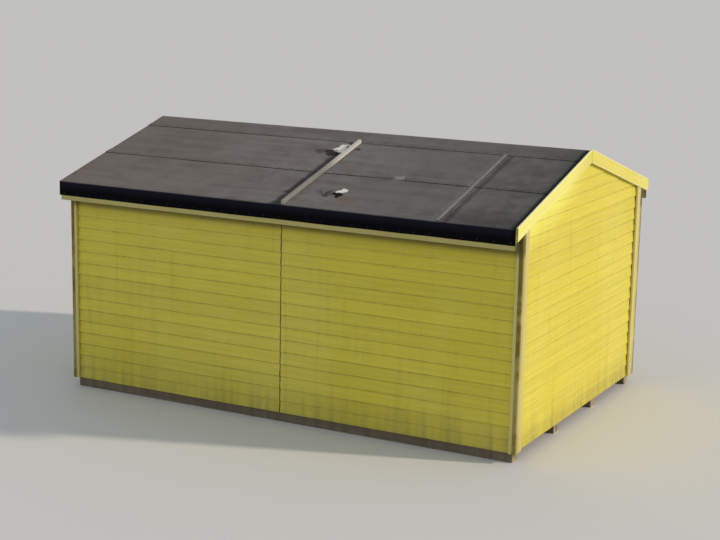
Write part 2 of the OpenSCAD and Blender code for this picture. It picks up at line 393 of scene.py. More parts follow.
def clipped(section: Section, low: float, high: float) -> list[Corner]:
    """Cut a section down to the part whose u lies between two values.

    Args:
        section: Outline to cut.
        low: Smallest u to keep.
        high: Largest u to keep.

    Returns:
        The outline that is left, empty if nothing is.
    """
    outline = list(section)
    for sign, limit in ((1, low), (-1, -high)):
        kept: list[Corner] = []
        for a, b in zip(outline, outline[1:] + outline[:1]):
            inside_a, inside_b = sign * a.u >= limit, sign * b.u >= limit
            if inside_a:
                kept.append(a)
            if inside_a != inside_b:
                share = (limit / sign - a.u) / (b.u - a.u)
                kept.append(Corner(*(p + (q - p) * share for p, q in zip(a, b))))
        outline = kept
        if len(outline) < FEWEST_CORNERS:
            return []
    return outline


def raised(plan: Plan, *heights: Line) -> list[Placer]:
    """Place a section by its plan, at the height that each point's x gives, once for each line of heights."""
    return [lambda u, v, height=height: Vector((*plan(u, v), height(plan(u, v)[0]))) for height in heights]


@dataclass(frozen=True)
class Plank:
    """How planks are drawn: spacing of their rings, how they wander, and what the weather did to them."""

    step: float = 0.35
    sway: float = 0.0006
    end_wear: float = 0.008
    most_worn: float = 0.2
    end_soak_and_shade: float = 0.0
    soak: float = 0.0

    def lay(self, draft: Draft, section: Section, begin: Vector, stop: Vector, u_way: Vector,
            v_way: Vector) -> None:
        """Draw a straight plank: its section's origin goes from begin to stop, u and v along their ways."""
        self.draw(draft, section, lambda u, v: begin + u_way * u + v_way * v,
                  lambda u, v: stop + u_way * u + v_way * v)

    def draw(self, draft: Draft, section: Section, low: Placer, high: Placer, *heads: Placer) -> None:
        """Draw one plank from its low end to its high end.

        Args:
            draft: Piece to draw into.
            section: Outline across the grain.
            low: Gives the place of a section point at the low end.
            high: Gives the place of a section point at the high end.
            heads: Give its place on further rings past the high end, for a plank with a cut-back head.
        """
        starts = [low(c.u, c.v) for c in section]
        stops = [high(c.u, c.v) for c in section]
        length = max((b - a).length for a, b in zip(starts, stops))
        bays = max(2, round(length / self.step))
        edge = min(self.end_wear / length, self.most_worn)
        shares = [0.0, edge] + [i / bays for i in range(1, bays)] + [1 - edge, 1.0]
        rings = []
        for share in shares:
            at_end = share == 0.0 or (share == 1.0 and not heads)
            inner = edge < share < 1 - edge
            shift = Vector([draft.rng.uniform(-self.sway, self.sway) if inner else 0.0 for _ in range(3)])
            across = 0.0
            ring = []
            for i, corner in enumerate(section):
                if i:
                    across += math.hypot(corner.u - section[i - 1].u, corner.v - section[i - 1].v)
                wear = 1.0 - self.end_soak_and_shade if at_end else corner.wear
                soak = max(self.soak, corner.soak, self.end_soak_and_shade if at_end else 0.0)
                place = starts[i].lerp(stops[i], share) + shift
                ring.append(Knot(place, share * length, across, wear, corner.shelter, soak))
            rings.append(ring)
        for head in heads:
            rings.append([Knot(head(corner.u, corner.v), length, knot.across, corner.wear, corner.shelter,
                               max(self.soak, corner.soak)) for corner, knot in zip(section, rings[-1])])
        draft.loft(rings, draft.rng.uniform(-1, 1))


def even(low: float, high: float, bays: int) -> list[float]:
    """Places from low to high, both included, with equal bays between them."""
    return [low + (high - low) * i / bays for i in range(bays + 1)]


def spread(low: float, high: float, pitch: float) -> list[float]:
    """Even places from low to high, both included, no more than pitch apart."""
    return even(low, high, max(1, math.ceil((high - low) / pitch - TINY)))


def turns(sides: int) -> list[float]:
    """Angles of the corners of a regular polygon, once round."""
    return [math.tau * i / sides for i in range(sides)]


@dataclass(frozen=True)
class Nail:
    """A nail or screw with a low round head."""

    radius: float = 0.0035
    height: float = 0.001
    sides: int = 6
    sunk: float = 0.0008
    crown: float = 0.55
    wear: float = 0.7

    def draw(self, draft: Draft, place: Vector, out: Vector) -> None:
        """Draw one head.

        Args:
            draft: Piece to draw into.
            place: Point on the surface under the head's middle.
            out: Direction that the surface faces.
        """
        out = out.normalized()
        sideways = out.orthogonal().normalized()
        upwards = out.cross(sideways)
        rings = []
        for radius, lift in ((self.radius, -self.sunk), (self.radius, self.height / 2),
                             (self.radius * self.crown, self.height)):
            ring = []
            for turn in turns(self.sides):
                arm = sideways * math.cos(turn) + upwards * math.sin(turn)
                ring.append(Knot(place + arm * radius + out * lift, turn, lift, self.wear))
            rings.append(ring)
        draft.loft(rings, draft.rng.uniform(-1, 1))


# Shader groups


class Bench:
    """A node tree while it is being wired."""

    def __init__(self, tree: NodeTree) -> None:
        """Start on an empty tree."""
        self.tree = tree
        tree.nodes.clear()

    def add(self, kind: str, inputs: Optional[dict] = None, **settings: object) -> Node:
        """Add a node.

        Args:
            kind: Type name of the node.
            inputs: Values or sockets by input name or number.
            settings: Properties of the node.

        Returns:
            The new node.
        """
        node = self.tree.nodes.new(kind)
        for label, value in settings.items():
            setattr(node, label, value)
        for label, value in (inputs or {}).items():
            self.feed(node.inputs[label], value)
        return node

    def feed(self, socket: NodeSocket, value: object) -> None:
        """Link a socket to another one, or set its value.

        Args:
            socket: Input to feed.
            value: Another node's output, or a number, a vector or a colour.
        """
        if isinstance(value, NodeSocket):
            self.tree.links.new(value, socket)
        elif isinstance(value, tuple) and len(value) == 3 and socket.type == "RGBA":
            socket.default_value = (*value, 1.0)
        else:
            socket.default_value = value

    def value_of(self, label: str) -> NodeSocket:
        """Read one of the values that the meshes carry, such as their wear."""
        return self.add("ShaderNodeAttribute", attribute_name=label).outputs["Fac"]

    def place(self) -> NodeSocket:
        """Give the place on the hut, in metres."""
        return self.add("ShaderNodeTexCoord").outputs["Object"]

    def parts(self, where: object) -> Sequence[NodeSocket]:
        """Split a place or a direction into its x, y and z."""
        return tuple(self.add("ShaderNodeSeparateXYZ", {0: where}).outputs)

    def cloud(self, where: object, scale: float, detail: float = 4.0,
              roughness: float = 0.55) -> NodeSocket:
        """Give a noise value from 0 to 1."""
        node = self.add("ShaderNodeTexNoise", {"Vector": where, "Scale": scale, "Detail": detail,
                                               "Roughness": roughness})
        return node.outputs["Fac"]

    def maths(self, operation: str, *values: object, clamp: bool = False) -> NodeSocket:
        """Give the result of a sum on one to three values."""
        node = self.add("ShaderNodeMath", dict(enumerate(values)), operation=operation, use_clamp=clamp)
        return node.outputs[0]

    def times(self, *values: object) -> NodeSocket:
        """Multiply values together."""
        return reduce(lambda a, b: self.maths("MULTIPLY", a, b), values)

    def plus(self, *values: object) -> NodeSocket:
        """Add values up."""
        return reduce(lambda a, b: self.maths("ADD", a, b), values)

    def minus(self, a: object, b: object) -> NodeSocket:
        """Take b away from a."""
        return self.maths("SUBTRACT", a, b)

    def vectors(self, operation: str, *values: object) -> NodeSocket:
        """Give the vector that a sum on vectors results in."""
        node = self.add("ShaderNodeVectorMath", dict(enumerate(values)), operation=operation)
        return node.outputs[0]

    def scaled(self, where: object, scale: object) -> NodeSocket:
        """Stretch coordinates."""
        return self.vectors("MULTIPLY", where, scale)

    def ramp(self, value: object, low: object, high: object, to_low: float = 0.0,
             to_high: float = 1.0) -> NodeSocket:
        """Map a value smoothly from one range to another, held at both ends."""
        node = self.add("ShaderNodeMapRange", {"Value": value, "From Min": low, "From Max": high,
                                               "To Min": to_low, "To Max": to_high},
                        interpolation_type="SMOOTHSTEP")
        return node.outputs["Result"]

    def blend(self, share: object, a: object, b: object, mode: str = "MIX") -> NodeSocket:
        """Mix two colours, with a share of b from 0 to 1, in the way that Blender calls by the mode."""
        node = self.add("ShaderNodeMix", {MIX_SHARE: share, MIX_A: a, MIX_B: b}, data_type="RGBA",
                        blend_type=mode)
        return node.outputs[MIX_RESULT]


class GroupBench(Bench):
    """The inside of a shader group while it is being wired."""

    def __init__(self, tree: NodeTree) -> None:
        """Start with the nodes that hold the group's inputs and outputs."""
        super().__init__(tree)
        self.ends = self.add("NodeGroupInput").outputs, self.add("NodeGroupOutput").inputs

    def given(self, label: str) -> NodeSocket:
        """Read one of the group's inputs."""
        return self.ends[0][label]

    def give(self, label: str, value: NodeSocket) -> None:
        """Feed one of the group's outputs."""
        self.feed(self.ends[1][label], value)


@dataclass(frozen=True)
class Effect:
    """A shader node group: its name, and its named inputs and outputs."""

    name: str
    inputs: tuple[tuple[str, float], ...]
    outputs: tuple[str, ...] = ("Mask",)

    def wire(self, bench: GroupBench) -> None:
        """Wire the inside of the group."""
        raise NotImplementedError

    def tree(self) -> NodeTree:
        """Give the group's tree, made the first time it is asked for.

        Returns:
            The tree.
        """
        found = bpy.data.node_groups.get(self.name)
        if found is not None:
            return found
        made = bpy.data.node_groups.new(self.name, "ShaderNodeTree")
        for label, value in self.inputs:
            socket = made.interface.new_socket(name=label, in_out="INPUT", socket_type="NodeSocketFloat")
            socket.default_value = value
        for label in self.outputs:
            made.interface.new_socket(name=label, in_out="OUTPUT", socket_type="NodeSocketFloat")
        self.wire(GroupBench(made))
        return made

    def place(self, bench: Bench, **values: float) -> Node:
        """Place the group in a material.

        Args:
            bench: The material's tree.
            values: Input values, with underscores for the spaces in their names.

        Returns:
            The group's node.
        """
        node = bench.add("ShaderNodeGroup", node_tree=self.tree())
        for label, value in values.items():
            bench.feed(node.inputs[label.replace("_", " ").capitalize()], value)
        return node

    def mask(self, bench: Bench, **values: float) -> NodeSocket:
        """Place the group in a material and give its mask."""
        return self.place(bench, **values).outputs["Mask"]


class TimberFigure(Effect):
    """Grain lines and pores that run along each plank."""

    def wire(self, bench: GroupBench) -> None:
        """Stretch two noises along the grain, one for the lines and one for the pores.

        Args:
            bench: The group's tree.
        """
        grain = bench.add("ShaderNodeAttribute", attribute_name="grain").outputs["Vector"]
        fineness = bench.given("Fineness")
        lines_at = bench.scaled(bench.scaled(grain, (1.3, 45.0, 7.0)), fineness)
        pores_at = bench.scaled(bench.scaled(grain, (9.0, 330.0, 11.0)), fineness)
        lines = bench.cloud(lines_at, 1.0, 3.0, 0.6)
        pores = bench.cloud(pores_at, 1.0, 2.0, 0.5)
        both = bench.plus(bench.times(lines, 0.7), bench.times(pores, 0.3))
        bench.give("Figure", bench.ramp(both, 0.3, 0.7))
        bench.give("Pores", pores)


class WornEdges(Effect):
    """Where an edge has lost its coat."""

    def wire(self, bench: GroupBench) -> None:
        """Break the worn edges up with a noise.

        Args:
            bench: The group's tree.
        """
        patches = bench.cloud(bench.place(), 9.0, 5.0, 0.65)
        limit = bench.minus(1.0, bench.given("Amount"))
        value = bench.times(bench.value_of("wear"), patches)
        bench.give("Mask", bench.ramp(value, bench.times(limit, 0.75), limit))


class Weathering(Effect):
    """Sun fade in broad patches, and grime in streaks, under laps and near the ground; under laps it is also
    painted shade.
    """

    def wire(self, bench: GroupBench) -> None:
        """Draw both masks from the place on the hut.

        Args:
            bench: The group's tree.
        """
        place = bench.place()
        height = bench.parts(place)[2]
        broad = bench.cloud(bench.scaled(place, (1.0, 1.0, 0.5)), 1.1, 3.0)
        streaks = bench.cloud(bench.scaled(place, (14.0, 14.0, 0.8)), 1.0, 4.0, 0.6)
        splash = bench.ramp(height, bench.given("Splash height"), 0.0)
        ragged = bench.times(splash, bench.ramp(streaks, 0.25, 0.75, 0.35, 1.0))
        # Painted shade under the laps, with grime, from the shelter value.
        lap = bench.times(bench.value_of("shelter"), bench.ramp(streaks, 0.3, 0.7, 0.4, 1.0))
        runs = bench.times(bench.ramp(streaks, 0.5, 0.85), 0.35)
        dirt = bench.maths("ADD", bench.maths("MAXIMUM", ragged, lap), runs, clamp=True)
        bench.give("Fade", bench.ramp(broad, 0.35, 0.7))
        bench.give("Grime", bench.times(dirt, bench.given("Amount")))


class Dust(Effect):
    """Pale dust and salt that settles on what faces up."""

    def wire(self, bench: GroupBench) -> None:
        """Mask the faces by how far they face up.

        Args:
            bench: The group's tree.
        """
        facing_up = bench.parts(bench.add("ShaderNodeNewGeometry").outputs["Normal"])[2]
        lying = bench.ramp(facing_up, 0.3, 0.95)
        patches = bench.ramp(bench.cloud(bench.place(), 6.0, 6.0, 0.65), 0.35, 0.75)
        bench.give("Mask", bench.times(lying, patches, bench.given("Amount")))


class EaveShade(Effect):
    """Painted shade that darkens the side walls just under the eaves."""

    def wire(self, bench: GroupBench) -> None:
        """Mask the band by its height, on what lies as far out as the side walls.

        Args:
            bench: The group's tree.
        """
        x, _, z = bench.parts(bench.place())
        band = bench.ramp(z, bench.given("Low"), bench.given("High"))
        far_out = bench.maths("GREATER_THAN", bench.maths("ABSOLUTE", x), bench.given("Wall"))
        bench.give("Mask", bench.times(band, far_out))


class VergeHighlight(Effect):
    """Painted highlight: a paler band under the right verge of the back gable."""

    def wire(self, bench: GroupBench) -> None:
        """Mask the band by its depth under the roof's line.

        Args:
            bench: The group's tree.
        """
        x, y, z = bench.parts(bench.place())
        line = bench.minus(bench.given("Apex"), bench.times(x, bench.given("Slope")))
        stray = bench.times(bench.cloud(bench.place(), 2.0, 3.0), 0.2)
        depth = bench.plus(bench.minus(line, z), stray)
        band = bench.ramp(depth, bench.given("Reach"), bench.given("Full"))
        on_right = bench.ramp(x, -0.05, 0.6)
        on_gable = bench.maths("GREATER_THAN", y, bench.given("Gable"))
        bench.give("Mask", bench.times(band, on_right, on_gable))


FIGURE = TimberFigure("timber_figure", (("Fineness", 1.0),), ("Figure", "Pores"))
WORN = WornEdges("worn_edges", (("Amount", 0.5),))
WEATHER = Weathering("weathering", (("Splash height", 0.5), ("Amount", 0.5)), ("Fade", "Grime"))
DUST = Dust("settled_dust", (("Amount", 0.3),))
EAVE_SHADE = EaveShade("under_eave", (("Wall", 1.5), ("Low", 1.76), ("High", 1.84)))
VERGE_HIGHLIGHT = VergeHighlight("verge_bleach", (("Apex", 2.4), ("Slope", 0.28), ("Gable", 2.3), ("Reach", 0.5),
                                      ("Full", 0.14)))


# Finishes


def new_material(name: str) -> tuple[Material, Bench]:
    """Make an empty node material.

    Args:
        name: Name of the material.

    Returns:
        The material and the bench on its tree.
    """
    material = bpy.data.materials.new(name)
    material.use_nodes = True
    return material, Bench(material.node_tree)


def bump(bench: Bench, height: object, distance: float, strength: float = 1.0) -> NodeSocket:
    """Give the normal of a surface with a height that varies."""
    node = bench.add("ShaderNodeBump", {"Strength": strength, "Distance": distance, "Height": height})
    return node.outputs["Normal"]


def close_material(bench: Bench, sockets: dict[str, object]) -> None:
    """Put the shader and the output at the end of a material, with the shader's values and links."""
    shader = bench.add("ShaderNodeBsdfPrincipled", sockets)
    bench.add("ShaderNodeOutputMaterial", {"Surface": shader.outputs["BSDF"]})


def shaded(colour: Colour, factor: float) -> Colour:
    """Give a darker or a paler shade of a colour."""
    return tuple(min(1.0, part * factor) for part in colour)


@dataclass(frozen=True)
class GableHighlight:
    """Where the back gable's paint carries a painted highlight, and its colour."""

    apex: float
    slope: float
    gable: float
    colour: Colour
    strength: float = 0.8

    def bleach(self, bench: Bench, colour: NodeSocket) -> NodeSocket:
        """Give the paint's colour with the painted highlight in it."""
        band = VERGE_HIGHLIGHT.mask(bench, apex=self.apex, slope=self.slope, gable=self.gable)
        return bench.blend(bench.times(band, self.strength), colour, self.colour)


@dataclass(frozen=True)
class Paint:
    """Gloss paint on timber boards, weathered by sun, sand and rain."""

    name: str
    colour: Colour
    chalk: Colour
    bare: Colour = (0.60, 0.50, 0.33)
    dirt: Colour = (0.17, 0.14, 0.07)
    shade: Colour = (0.11, 0.085, 0.002)
    soaked_and_shaded: Colour = (0.19, 0.145, 0.006)
    roughness: float = 0.42
    worn: float = 0.42
    grime: float = 0.5
    splash: float = 0.48
    darkest: float = 0.90
    faded: float = 0.45
    brushed: float = 0.12
    dusty: float = 0.35
    shaded_share: float = 0.85
    shaded_wall: Optional[float] = None
    verge_highlight: Optional[GableHighlight] = None

    def material(self) -> Material:
        """Make the paint's material.

        Returns:
            The material.
        """
        material, bench = new_material(self.name)
        figure = FIGURE.place(bench, fineness=1.0)
        worn = WORN.mask(bench, amount=self.worn)
        weather = WEATHER.place(bench, splash_height=self.splash, amount=self.grime)
        tone = bench.ramp(bench.value_of("tone"), -1.0, 1.0)
        colour = bench.blend(tone, shaded(self.colour, self.darkest), self.colour)
        colour = bench.blend(bench.times(weather.outputs["Fade"], self.faded), colour, self.chalk)
        # Painted highlight under the back gable's right verge.
        if self.verge_highlight is not None:
            colour = self.verge_highlight.bleach(bench, colour)
        brushed = bench.ramp(figure.outputs["Figure"], 0.0, 1.0, 0.0, self.brushed)
        colour = bench.blend(brushed, colour, self.dirt)
        colour = bench.blend(weather.outputs["Grime"], colour, self.dirt)
        colour = bench.blend(DUST.mask(bench, amount=self.dusty), colour, self.chalk)
        # Worn edges show the bare colour; on the trim this is also a painted highlight.
        colour = bench.blend(worn, colour, self.bare)
        # Wet wood, and on the fascia's ends painted shadow.
        colour = bench.blend(self._soak(bench), colour, self.soaked_and_shaded)
        # Painted shade under the eaves, on the side walls and their corner boards.
        if self.shaded_wall is not None:
            eave = EAVE_SHADE.mask(bench, wall=self.shaded_wall)
            colour = bench.blend(bench.times(eave, self.shaded_share), colour, self.shade)
        rough = bench.ramp(figure.outputs["Figure"], 0.0, 1.0, self.roughness - 0.06, self.roughness + 0.1)
        relief = bench.plus(figure.outputs["Figure"], bench.times(figure.outputs["Pores"], 0.4))
        relief = bench.minus(relief, bench.times(worn, 0.8))
        close_material(bench, {
            "Base Color": colour,
            "Roughness": bench.maths("ADD", rough, bench.times(worn, 0.3), clamp=True),
            "Specular IOR Level": 0.4,
            "Normal": bump(bench, relief, 0.35 * MILLIMETRE, 0.7),
        })
        return material

    def _soak(self, bench: Bench) -> NodeSocket:
        """Mask the wet wood in patches; on the fascia's ends it is painted shadow."""
        patches = bench.ramp(bench.cloud(bench.place(), 5.0, 4.0), 0.38, 0.58, 0.6, 1.0)
        return bench.times(bench.value_of("soak"), patches)


@dataclass(frozen=True)
class Timber:
    """Unpainted softwood, fresh or grey with age."""

    name: str
    early: Colour
    late: Colour
    dirt: Colour = (0.12, 0.10, 0.075)
    roughness: float = 0.75
    grime: float = 0.5
    splash: float = 0.3
    dusty: float = 0.25
    worn: float = 0.5
    darkest: float = 0.8
    palest: float = 1.25
    bleached: Optional[Colour] = None
    bleached_to: Pair = (1.0, 0.6)

    def material(self) -> Material:
        """Make the timber's material.

        Returns:
            The material.
        """
        material, bench = new_material(self.name)
        figure = FIGURE.place(bench, fineness=1.0)
        weather = WEATHER.place(bench, splash_height=self.splash, amount=self.grime)
        tone = bench.ramp(bench.value_of("tone"), -1.0, 1.0)
        early = bench.blend(tone, shaded(self.early, self.darkest), self.early)
        colour = bench.blend(figure.outputs["Figure"], self.late, early)
        if self.bleached is not None:
            sideways = bench.maths("ABSOLUTE", bench.parts(bench.place())[0])
            colour = bench.blend(bench.ramp(sideways, *self.bleached_to), colour, self.bleached)
        colour = bench.blend(weather.outputs["Grime"], colour, self.dirt)
        pale = shaded(self.early, self.palest)
        colour = bench.blend(DUST.mask(bench, amount=self.dusty), colour, pale)
        colour = bench.blend(WORN.mask(bench, amount=self.worn), colour, pale)
        rough = bench.ramp(figure.outputs["Figure"], 0.0, 1.0, self.roughness - 0.1, self.roughness + 0.1)
        relief = bench.plus(figure.outputs["Figure"], figure.outputs["Pores"])
        close_material(bench, {
            "Base Color": colour,
            "Roughness": rough,
            "Specular IOR Level": 0.3,
            "Normal": bump(bench, relief, 0.6 * MILLIMETRE, 0.8),
        })
        return material


@dataclass(frozen=True)
class FramingTimber:
    """Sawn softwood of the frames inside the walls and roof, which have no grain of their own."""

    name: str
    early: Colour
    late: Colour

    def material(self) -> Material:
        """Make the framing's material.

        Returns:
            The material.
        """
        material, bench = new_material(self.name)
        place = bench.place()
        rings = bench.ramp(bench.cloud(bench.scaled(place, (30.0, 30.0, 3.0)), 1.0, 4.0), 0.3, 0.7)
        saw = bench.cloud(bench.scaled(place, (200.0, 200.0, 40.0)), 1.0, 2.0)
        close_material(bench, {
            "Base Color": bench.blend(rings, self.late, self.early),
            "Roughness": bench.ramp(saw, 0.3, 0.7, 0.7, 0.85),
            "Normal": bump(bench, saw, 0.5 * MILLIMETRE, 0.6),
        })
        return material


@dataclass(frozen=True)
class Splash:
    """A ragged patch of one colour on the roof."""

    middle: tuple[float, float, float]
    radius: float
    colour: Colour
    strength: float = 1.0

    def laid_on(self, bench: Bench, place: NodeSocket, colour: NodeSocket) -> NodeSocket:
        """Add the patch to a colour.

        Args:
            bench: The material's tree.
            place: Place on the hut.
            colour: Colour under the patch.

        Returns:
            The colour with the patch on it.
        """
        swirl = bench.add("ShaderNodeTexNoise", {"Vector": place, "Scale": 0.45 / self.radius, "Detail": 5.0,
                                                 "Roughness": 0.65}).outputs["Color"]
        stray = bench.vectors("SUBTRACT", swirl, (0.5, 0.5, 0.5))
        shift = bench.add("ShaderNodeVectorMath", {0: stray, "Scale": self.radius * 4.5}, operation="SCALE")
        spot = bench.vectors("ADD", place, shift.outputs[0])
        reach = bench.add("ShaderNodeVectorMath", {0: spot, 1: self.middle}, operation="DISTANCE")
        share = bench.ramp(reach.outputs["Value"], self.radius * 1.1, self.radius * 0.75, 0.0, self.strength)
        return bench.blend(share, colour, self.colour)


@dataclass(frozen=True)
class Smear:
    """A ragged band of one colour down the slope beside a batten, for bitumen with painted shadow and for
    felt worn pale.
    """

    middle_y: float
    width: float
    colour: Colour
    strength: float
    top_x: float = RIDGE_REACH
    top_fade: float = 0.02

    def laid_on(self, bench: Bench, place: NodeSocket, colour: NodeSocket) -> NodeSocket:
        """Add the band to a colour.

        Args:
            bench: The material's tree.
            place: Place on the hut.
            colour: Colour under the band.

        Returns:
            The colour with the band on it.
        """
        x, y, _ = bench.parts(place)
        ragged = bench.times(bench.cloud(place, 11.0, 4.0, 0.6), self.width)
        below = bench.ramp(bench.maths("ABSOLUTE", x), self.top_x - self.top_fade, self.top_x)
        near = bench.plus(bench.maths("ABSOLUTE", bench.minus(self.middle_y, y)), ragged)
        beside = bench.ramp(near, self.width * 1.2, self.width * 0.75)
        return bench.blend(bench.times(beside, below, self.strength), colour, self.colour)


@dataclass(frozen=True)
class Felt:
    """Mineral roofing felt: grey and bleached where it lies in the sun, black over the eave and darker there
    as painted shade.

    The paired sizes say how far in from an edge a stain begins, and how far in it is full.
    """

    name: str
    bleached: Colour
    fresh: Colour
    verge_y: float
    eave_x: float
    smears: tuple[Smear, ...]
    splashes: tuple[Splash, ...]
    brown: Colour = (0.155, 0.122, 0.10)
    red_brown: Colour = (0.185, 0.122, 0.095)
    moss: Colour = (0.062, 0.064, 0.054)
    shaded_skirt: Colour = (0.011, 0.0112, 0.020)
    red_in: Pair = (0.45, 0.0)
    moss_in: Pair = (0.9, 0.0)
    wet_in: Pair = (1.1, 0.4)
    wet_up: Pair = (0.35, 0.05)

    def material(self) -> Material:
        """Make the felt's material.

        Returns:
            The material.
        """
        material, bench = new_material(self.name)
        place = bench.place()
        shelter = bench.value_of("shelter")
        granules = bench.cloud(place, 420.0, 2.0, 0.5)
        flakes = bench.cloud(place, 60.0, 6.0, 0.7)
        colour = self._weathered(bench, place)
        colour = bench.blend(bench.ramp(flakes, 0.52, 0.75, 0.0, 0.45), colour, BITUMEN_AND_SHADOW)
        colour = bench.blend(bench.ramp(granules, 0.35, 0.7, 0.0, 0.45), colour, self.bleached, "SCREEN")
        for mark in (*self.smears, *self.splashes):
            colour = mark.laid_on(bench, place, colour)
        # Painted shade and shadow, by the shelter value: the bend and skirt go navy black and then bitumen
        # black, the lap lines a little darker, and the back verge black as the barge boards' shadow.
        colour = bench.blend(bench.ramp(shelter, 0.15, 0.85), colour, self.shaded_skirt)
        colour = bench.blend(bench.ramp(shelter, 0.88, 0.96), colour, BITUMEN_AND_SHADOW)
        relief = bench.plus(granules, bench.times(flakes, 0.8))
        close_material(bench, {
            "Base Color": colour,
            "Roughness": bench.ramp(granules, 0.3, 0.7, 0.82, 0.96),
            "Specular IOR Level": 0.07,
            "Normal": bump(bench, relief, 0.8 * MILLIMETRE, 0.8),
        })
        return material

    def _weathered(self, bench: Bench, place: NodeSocket) -> NodeSocket:
        """Colour the felt in lanes, browner towards the front and darker towards the back verge.

        Args:
            bench: The material's tree.
            place: Place on the hut.

        Returns:
            The colour.
        """
        x, along, _ = bench.parts(place)
        sideways = bench.maths("ABSOLUTE", x)
        broad = bench.cloud(bench.scaled(place, (1.0, 0.8, 1.0)), 1.5, 5.0, 0.62)
        lanes = bench.cloud(bench.scaled(place, (11.0, 0.9, 11.0)), 1.0, 4.0, 0.6)
        mottle = bench.cloud(place, 6.5, 5.0, 0.62)
        faded = bench.plus(bench.times(broad, 0.36), bench.times(lanes, 0.36), bench.times(mottle, 0.28),
                           bench.times(bench.value_of("tone"), 0.03))
        colour = bench.blend(bench.ramp(faded, 0.36, 0.62), self.fresh, self.bleached)

        stray = bench.times(bench.minus(broad, 0.5), 3.5)
        browned = bench.ramp(bench.plus(along, stray), 1.3, -1.6, 0.0, 0.5)
        colour = bench.blend(browned, colour, self.brown)
        front = bench.ramp(bench.plus(along, bench.times(lanes, 0.5)), self.red_in[0] - self.verge_y,
                           self.red_in[1] - self.verge_y)
        reddened = bench.times(front, bench.ramp(sideways, 0.5, 1.1, 0.2, 0.9))
        colour = bench.blend(reddened, colour, self.red_brown)

        mossy = bench.plus(along, bench.times(stray, 0.6))
        colour = bench.blend(bench.ramp(mossy, 0.1, 1.2, 0.0, 0.50), colour, self.fresh)
        back = bench.ramp(mossy, self.verge_y - self.moss_in[0], self.verge_y - self.moss_in[1])
        patchy = bench.times(back, bench.ramp(mottle, 0.38, 0.62, 0.85, 0.35))
        colour = bench.blend(patchy, colour, self.moss)
        at_eave = bench.ramp(sideways, self.eave_x - self.wet_up[0], self.eave_x - self.wet_up[1], 0.0, 0.5)
        at_back = bench.ramp(mossy, self.verge_y - self.wet_in[0], self.verge_y - self.wet_in[1])
        return bench.blend(bench.times(at_eave, at_back), colour, BITUMEN_AND_SHADOW)


@dataclass(frozen=True)
class Metal:
    """Painted or plated iron that rusts at its edges."""

    name: str
    coat: Colour
    rust: Colour = (0.20, 0.07, 0.025)
    dust: Colour = (0.35, 0.33, 0.29)
    roughness: float = 0.45
    rusty: float = 0.45
    rusty_roughness: float = 0.85
    dusty: float = 0.3

    def material(self) -> Material:
        """Make the metal's material.

        Returns:
            The material.
        """
        material, bench = new_material(self.name)
        place = bench.place()
        worn = WORN.mask(bench, amount=self.rusty)
        spots = bench.ramp(bench.cloud(place, 70.0, 5.0, 0.7), 0.58, 0.7)
        rust = bench.maths("MAXIMUM", worn, bench.times(spots, 0.7))
        colour = bench.blend(rust, self.coat, self.rust)
        close_material(bench, {
            "Base Color": bench.blend(DUST.mask(bench, amount=self.dusty), colour, self.dust),
            "Roughness": bench.ramp(rust, 0.0, 1.0, self.roughness, self.rusty_roughness),
            "Normal": bump(bench, bench.cloud(place, 180.0, 3.0), 0.3 * MILLIMETRE, 0.5),
        })
        return material


@dataclass
class Palette:
    """The materials of the hut, each made once."""

    wall: Material
    trim: Material
    corner: Material
    fascia: Material
    felt: Material
    batten: Material
    grey_batten: Material
    deck: Material
    timber: Material
    framing: Material
    iron: Material
    clout: Material

    @classmethod
    def mix(cls, hut: HutFrame) -> "Palette":
        """Make every finish.

        Args:
            hut: Sizes of the hut, which place the marks on its roof and walls.

        Returns:
            The palette.
        """
        shaded_wall = hut.half_w - 0.03
        gable = (hut.apex_z, hut.slope, hut.frame_y)
        return cls(
            # The wall and trim paints carry a painted highlight under the back gable's right verge.
            wall=Paint("yellow_wall_paint", (0.79, 0.675, 0.045), (0.83, 0.74, 0.125),
                       bare=(0.42, 0.33, 0.10), shaded_wall=shaded_wall,
                       verge_highlight=GableHighlight(*gable, (1.0, 0.95, 0.17))).material(),
            # The trim's near-white worn colour and its higher wear are a painted highlight along its arrises,
            # with real wear.
            trim=Paint("yellow_trim_paint", (0.84, 0.735, 0.07), (0.90, 0.83, 0.28), bare=(0.98, 0.95, 0.62),
                       worn=0.62, roughness=0.34, grime=0.3,
                       verge_highlight=GableHighlight(*gable, (1.0, 0.96, 0.26))).material(),
            corner=Paint("cream_corner_paint", (0.71, 0.61, 0.175), (0.78, 0.70, 0.29), grime=0.35,
                         shaded_wall=shaded_wall).material(),
            # The fascia's near-black ends are painted shadow under the barge boards.
            fascia=Paint("dull_fascia_paint", (0.54, 0.475, 0.135), (0.63, 0.56, 0.215),
                         soaked_and_shaded=(0.02, 0.013, 0.001)).material(),
            felt=Felt("mineral_felt", (0.205, 0.192, 0.184), (0.100, 0.094, 0.091), hut.deck_y, hut.eave_x,
                      roof_smears(), roof_splashes(hut)).material(),
            batten=Timber("pale_batten", (0.32, 0.303, 0.275), (0.21, 0.198, 0.176), grime=0.3,
                          bleached=(0.62, 0.60, 0.55)).material(),
            grey_batten=Timber("grey_batten", (0.24, 0.23, 0.218), (0.15, 0.14, 0.132)).material(),
            deck=Timber("roof_boards", (0.50, 0.36, 0.20), (0.33, 0.21, 0.10), dusty=0.0).material(),
            timber=Timber("treated_timber", (0.30, 0.24, 0.15), (0.18, 0.135, 0.08), grime=0.8).material(),
            framing=FramingTimber("framing_timber", (0.50, 0.36, 0.20), (0.34, 0.22, 0.11)).material(),
            iron=Metal("black_iron_paint", (0.018, 0.018, 0.02)).material(),
            clout=Metal("tarred_clouts", (0.014, 0.014, 0.015), rust=(0.045, 0.026, 0.017), roughness=0.8,
                        rusty=0.35, dusty=0.08).material(),
        )


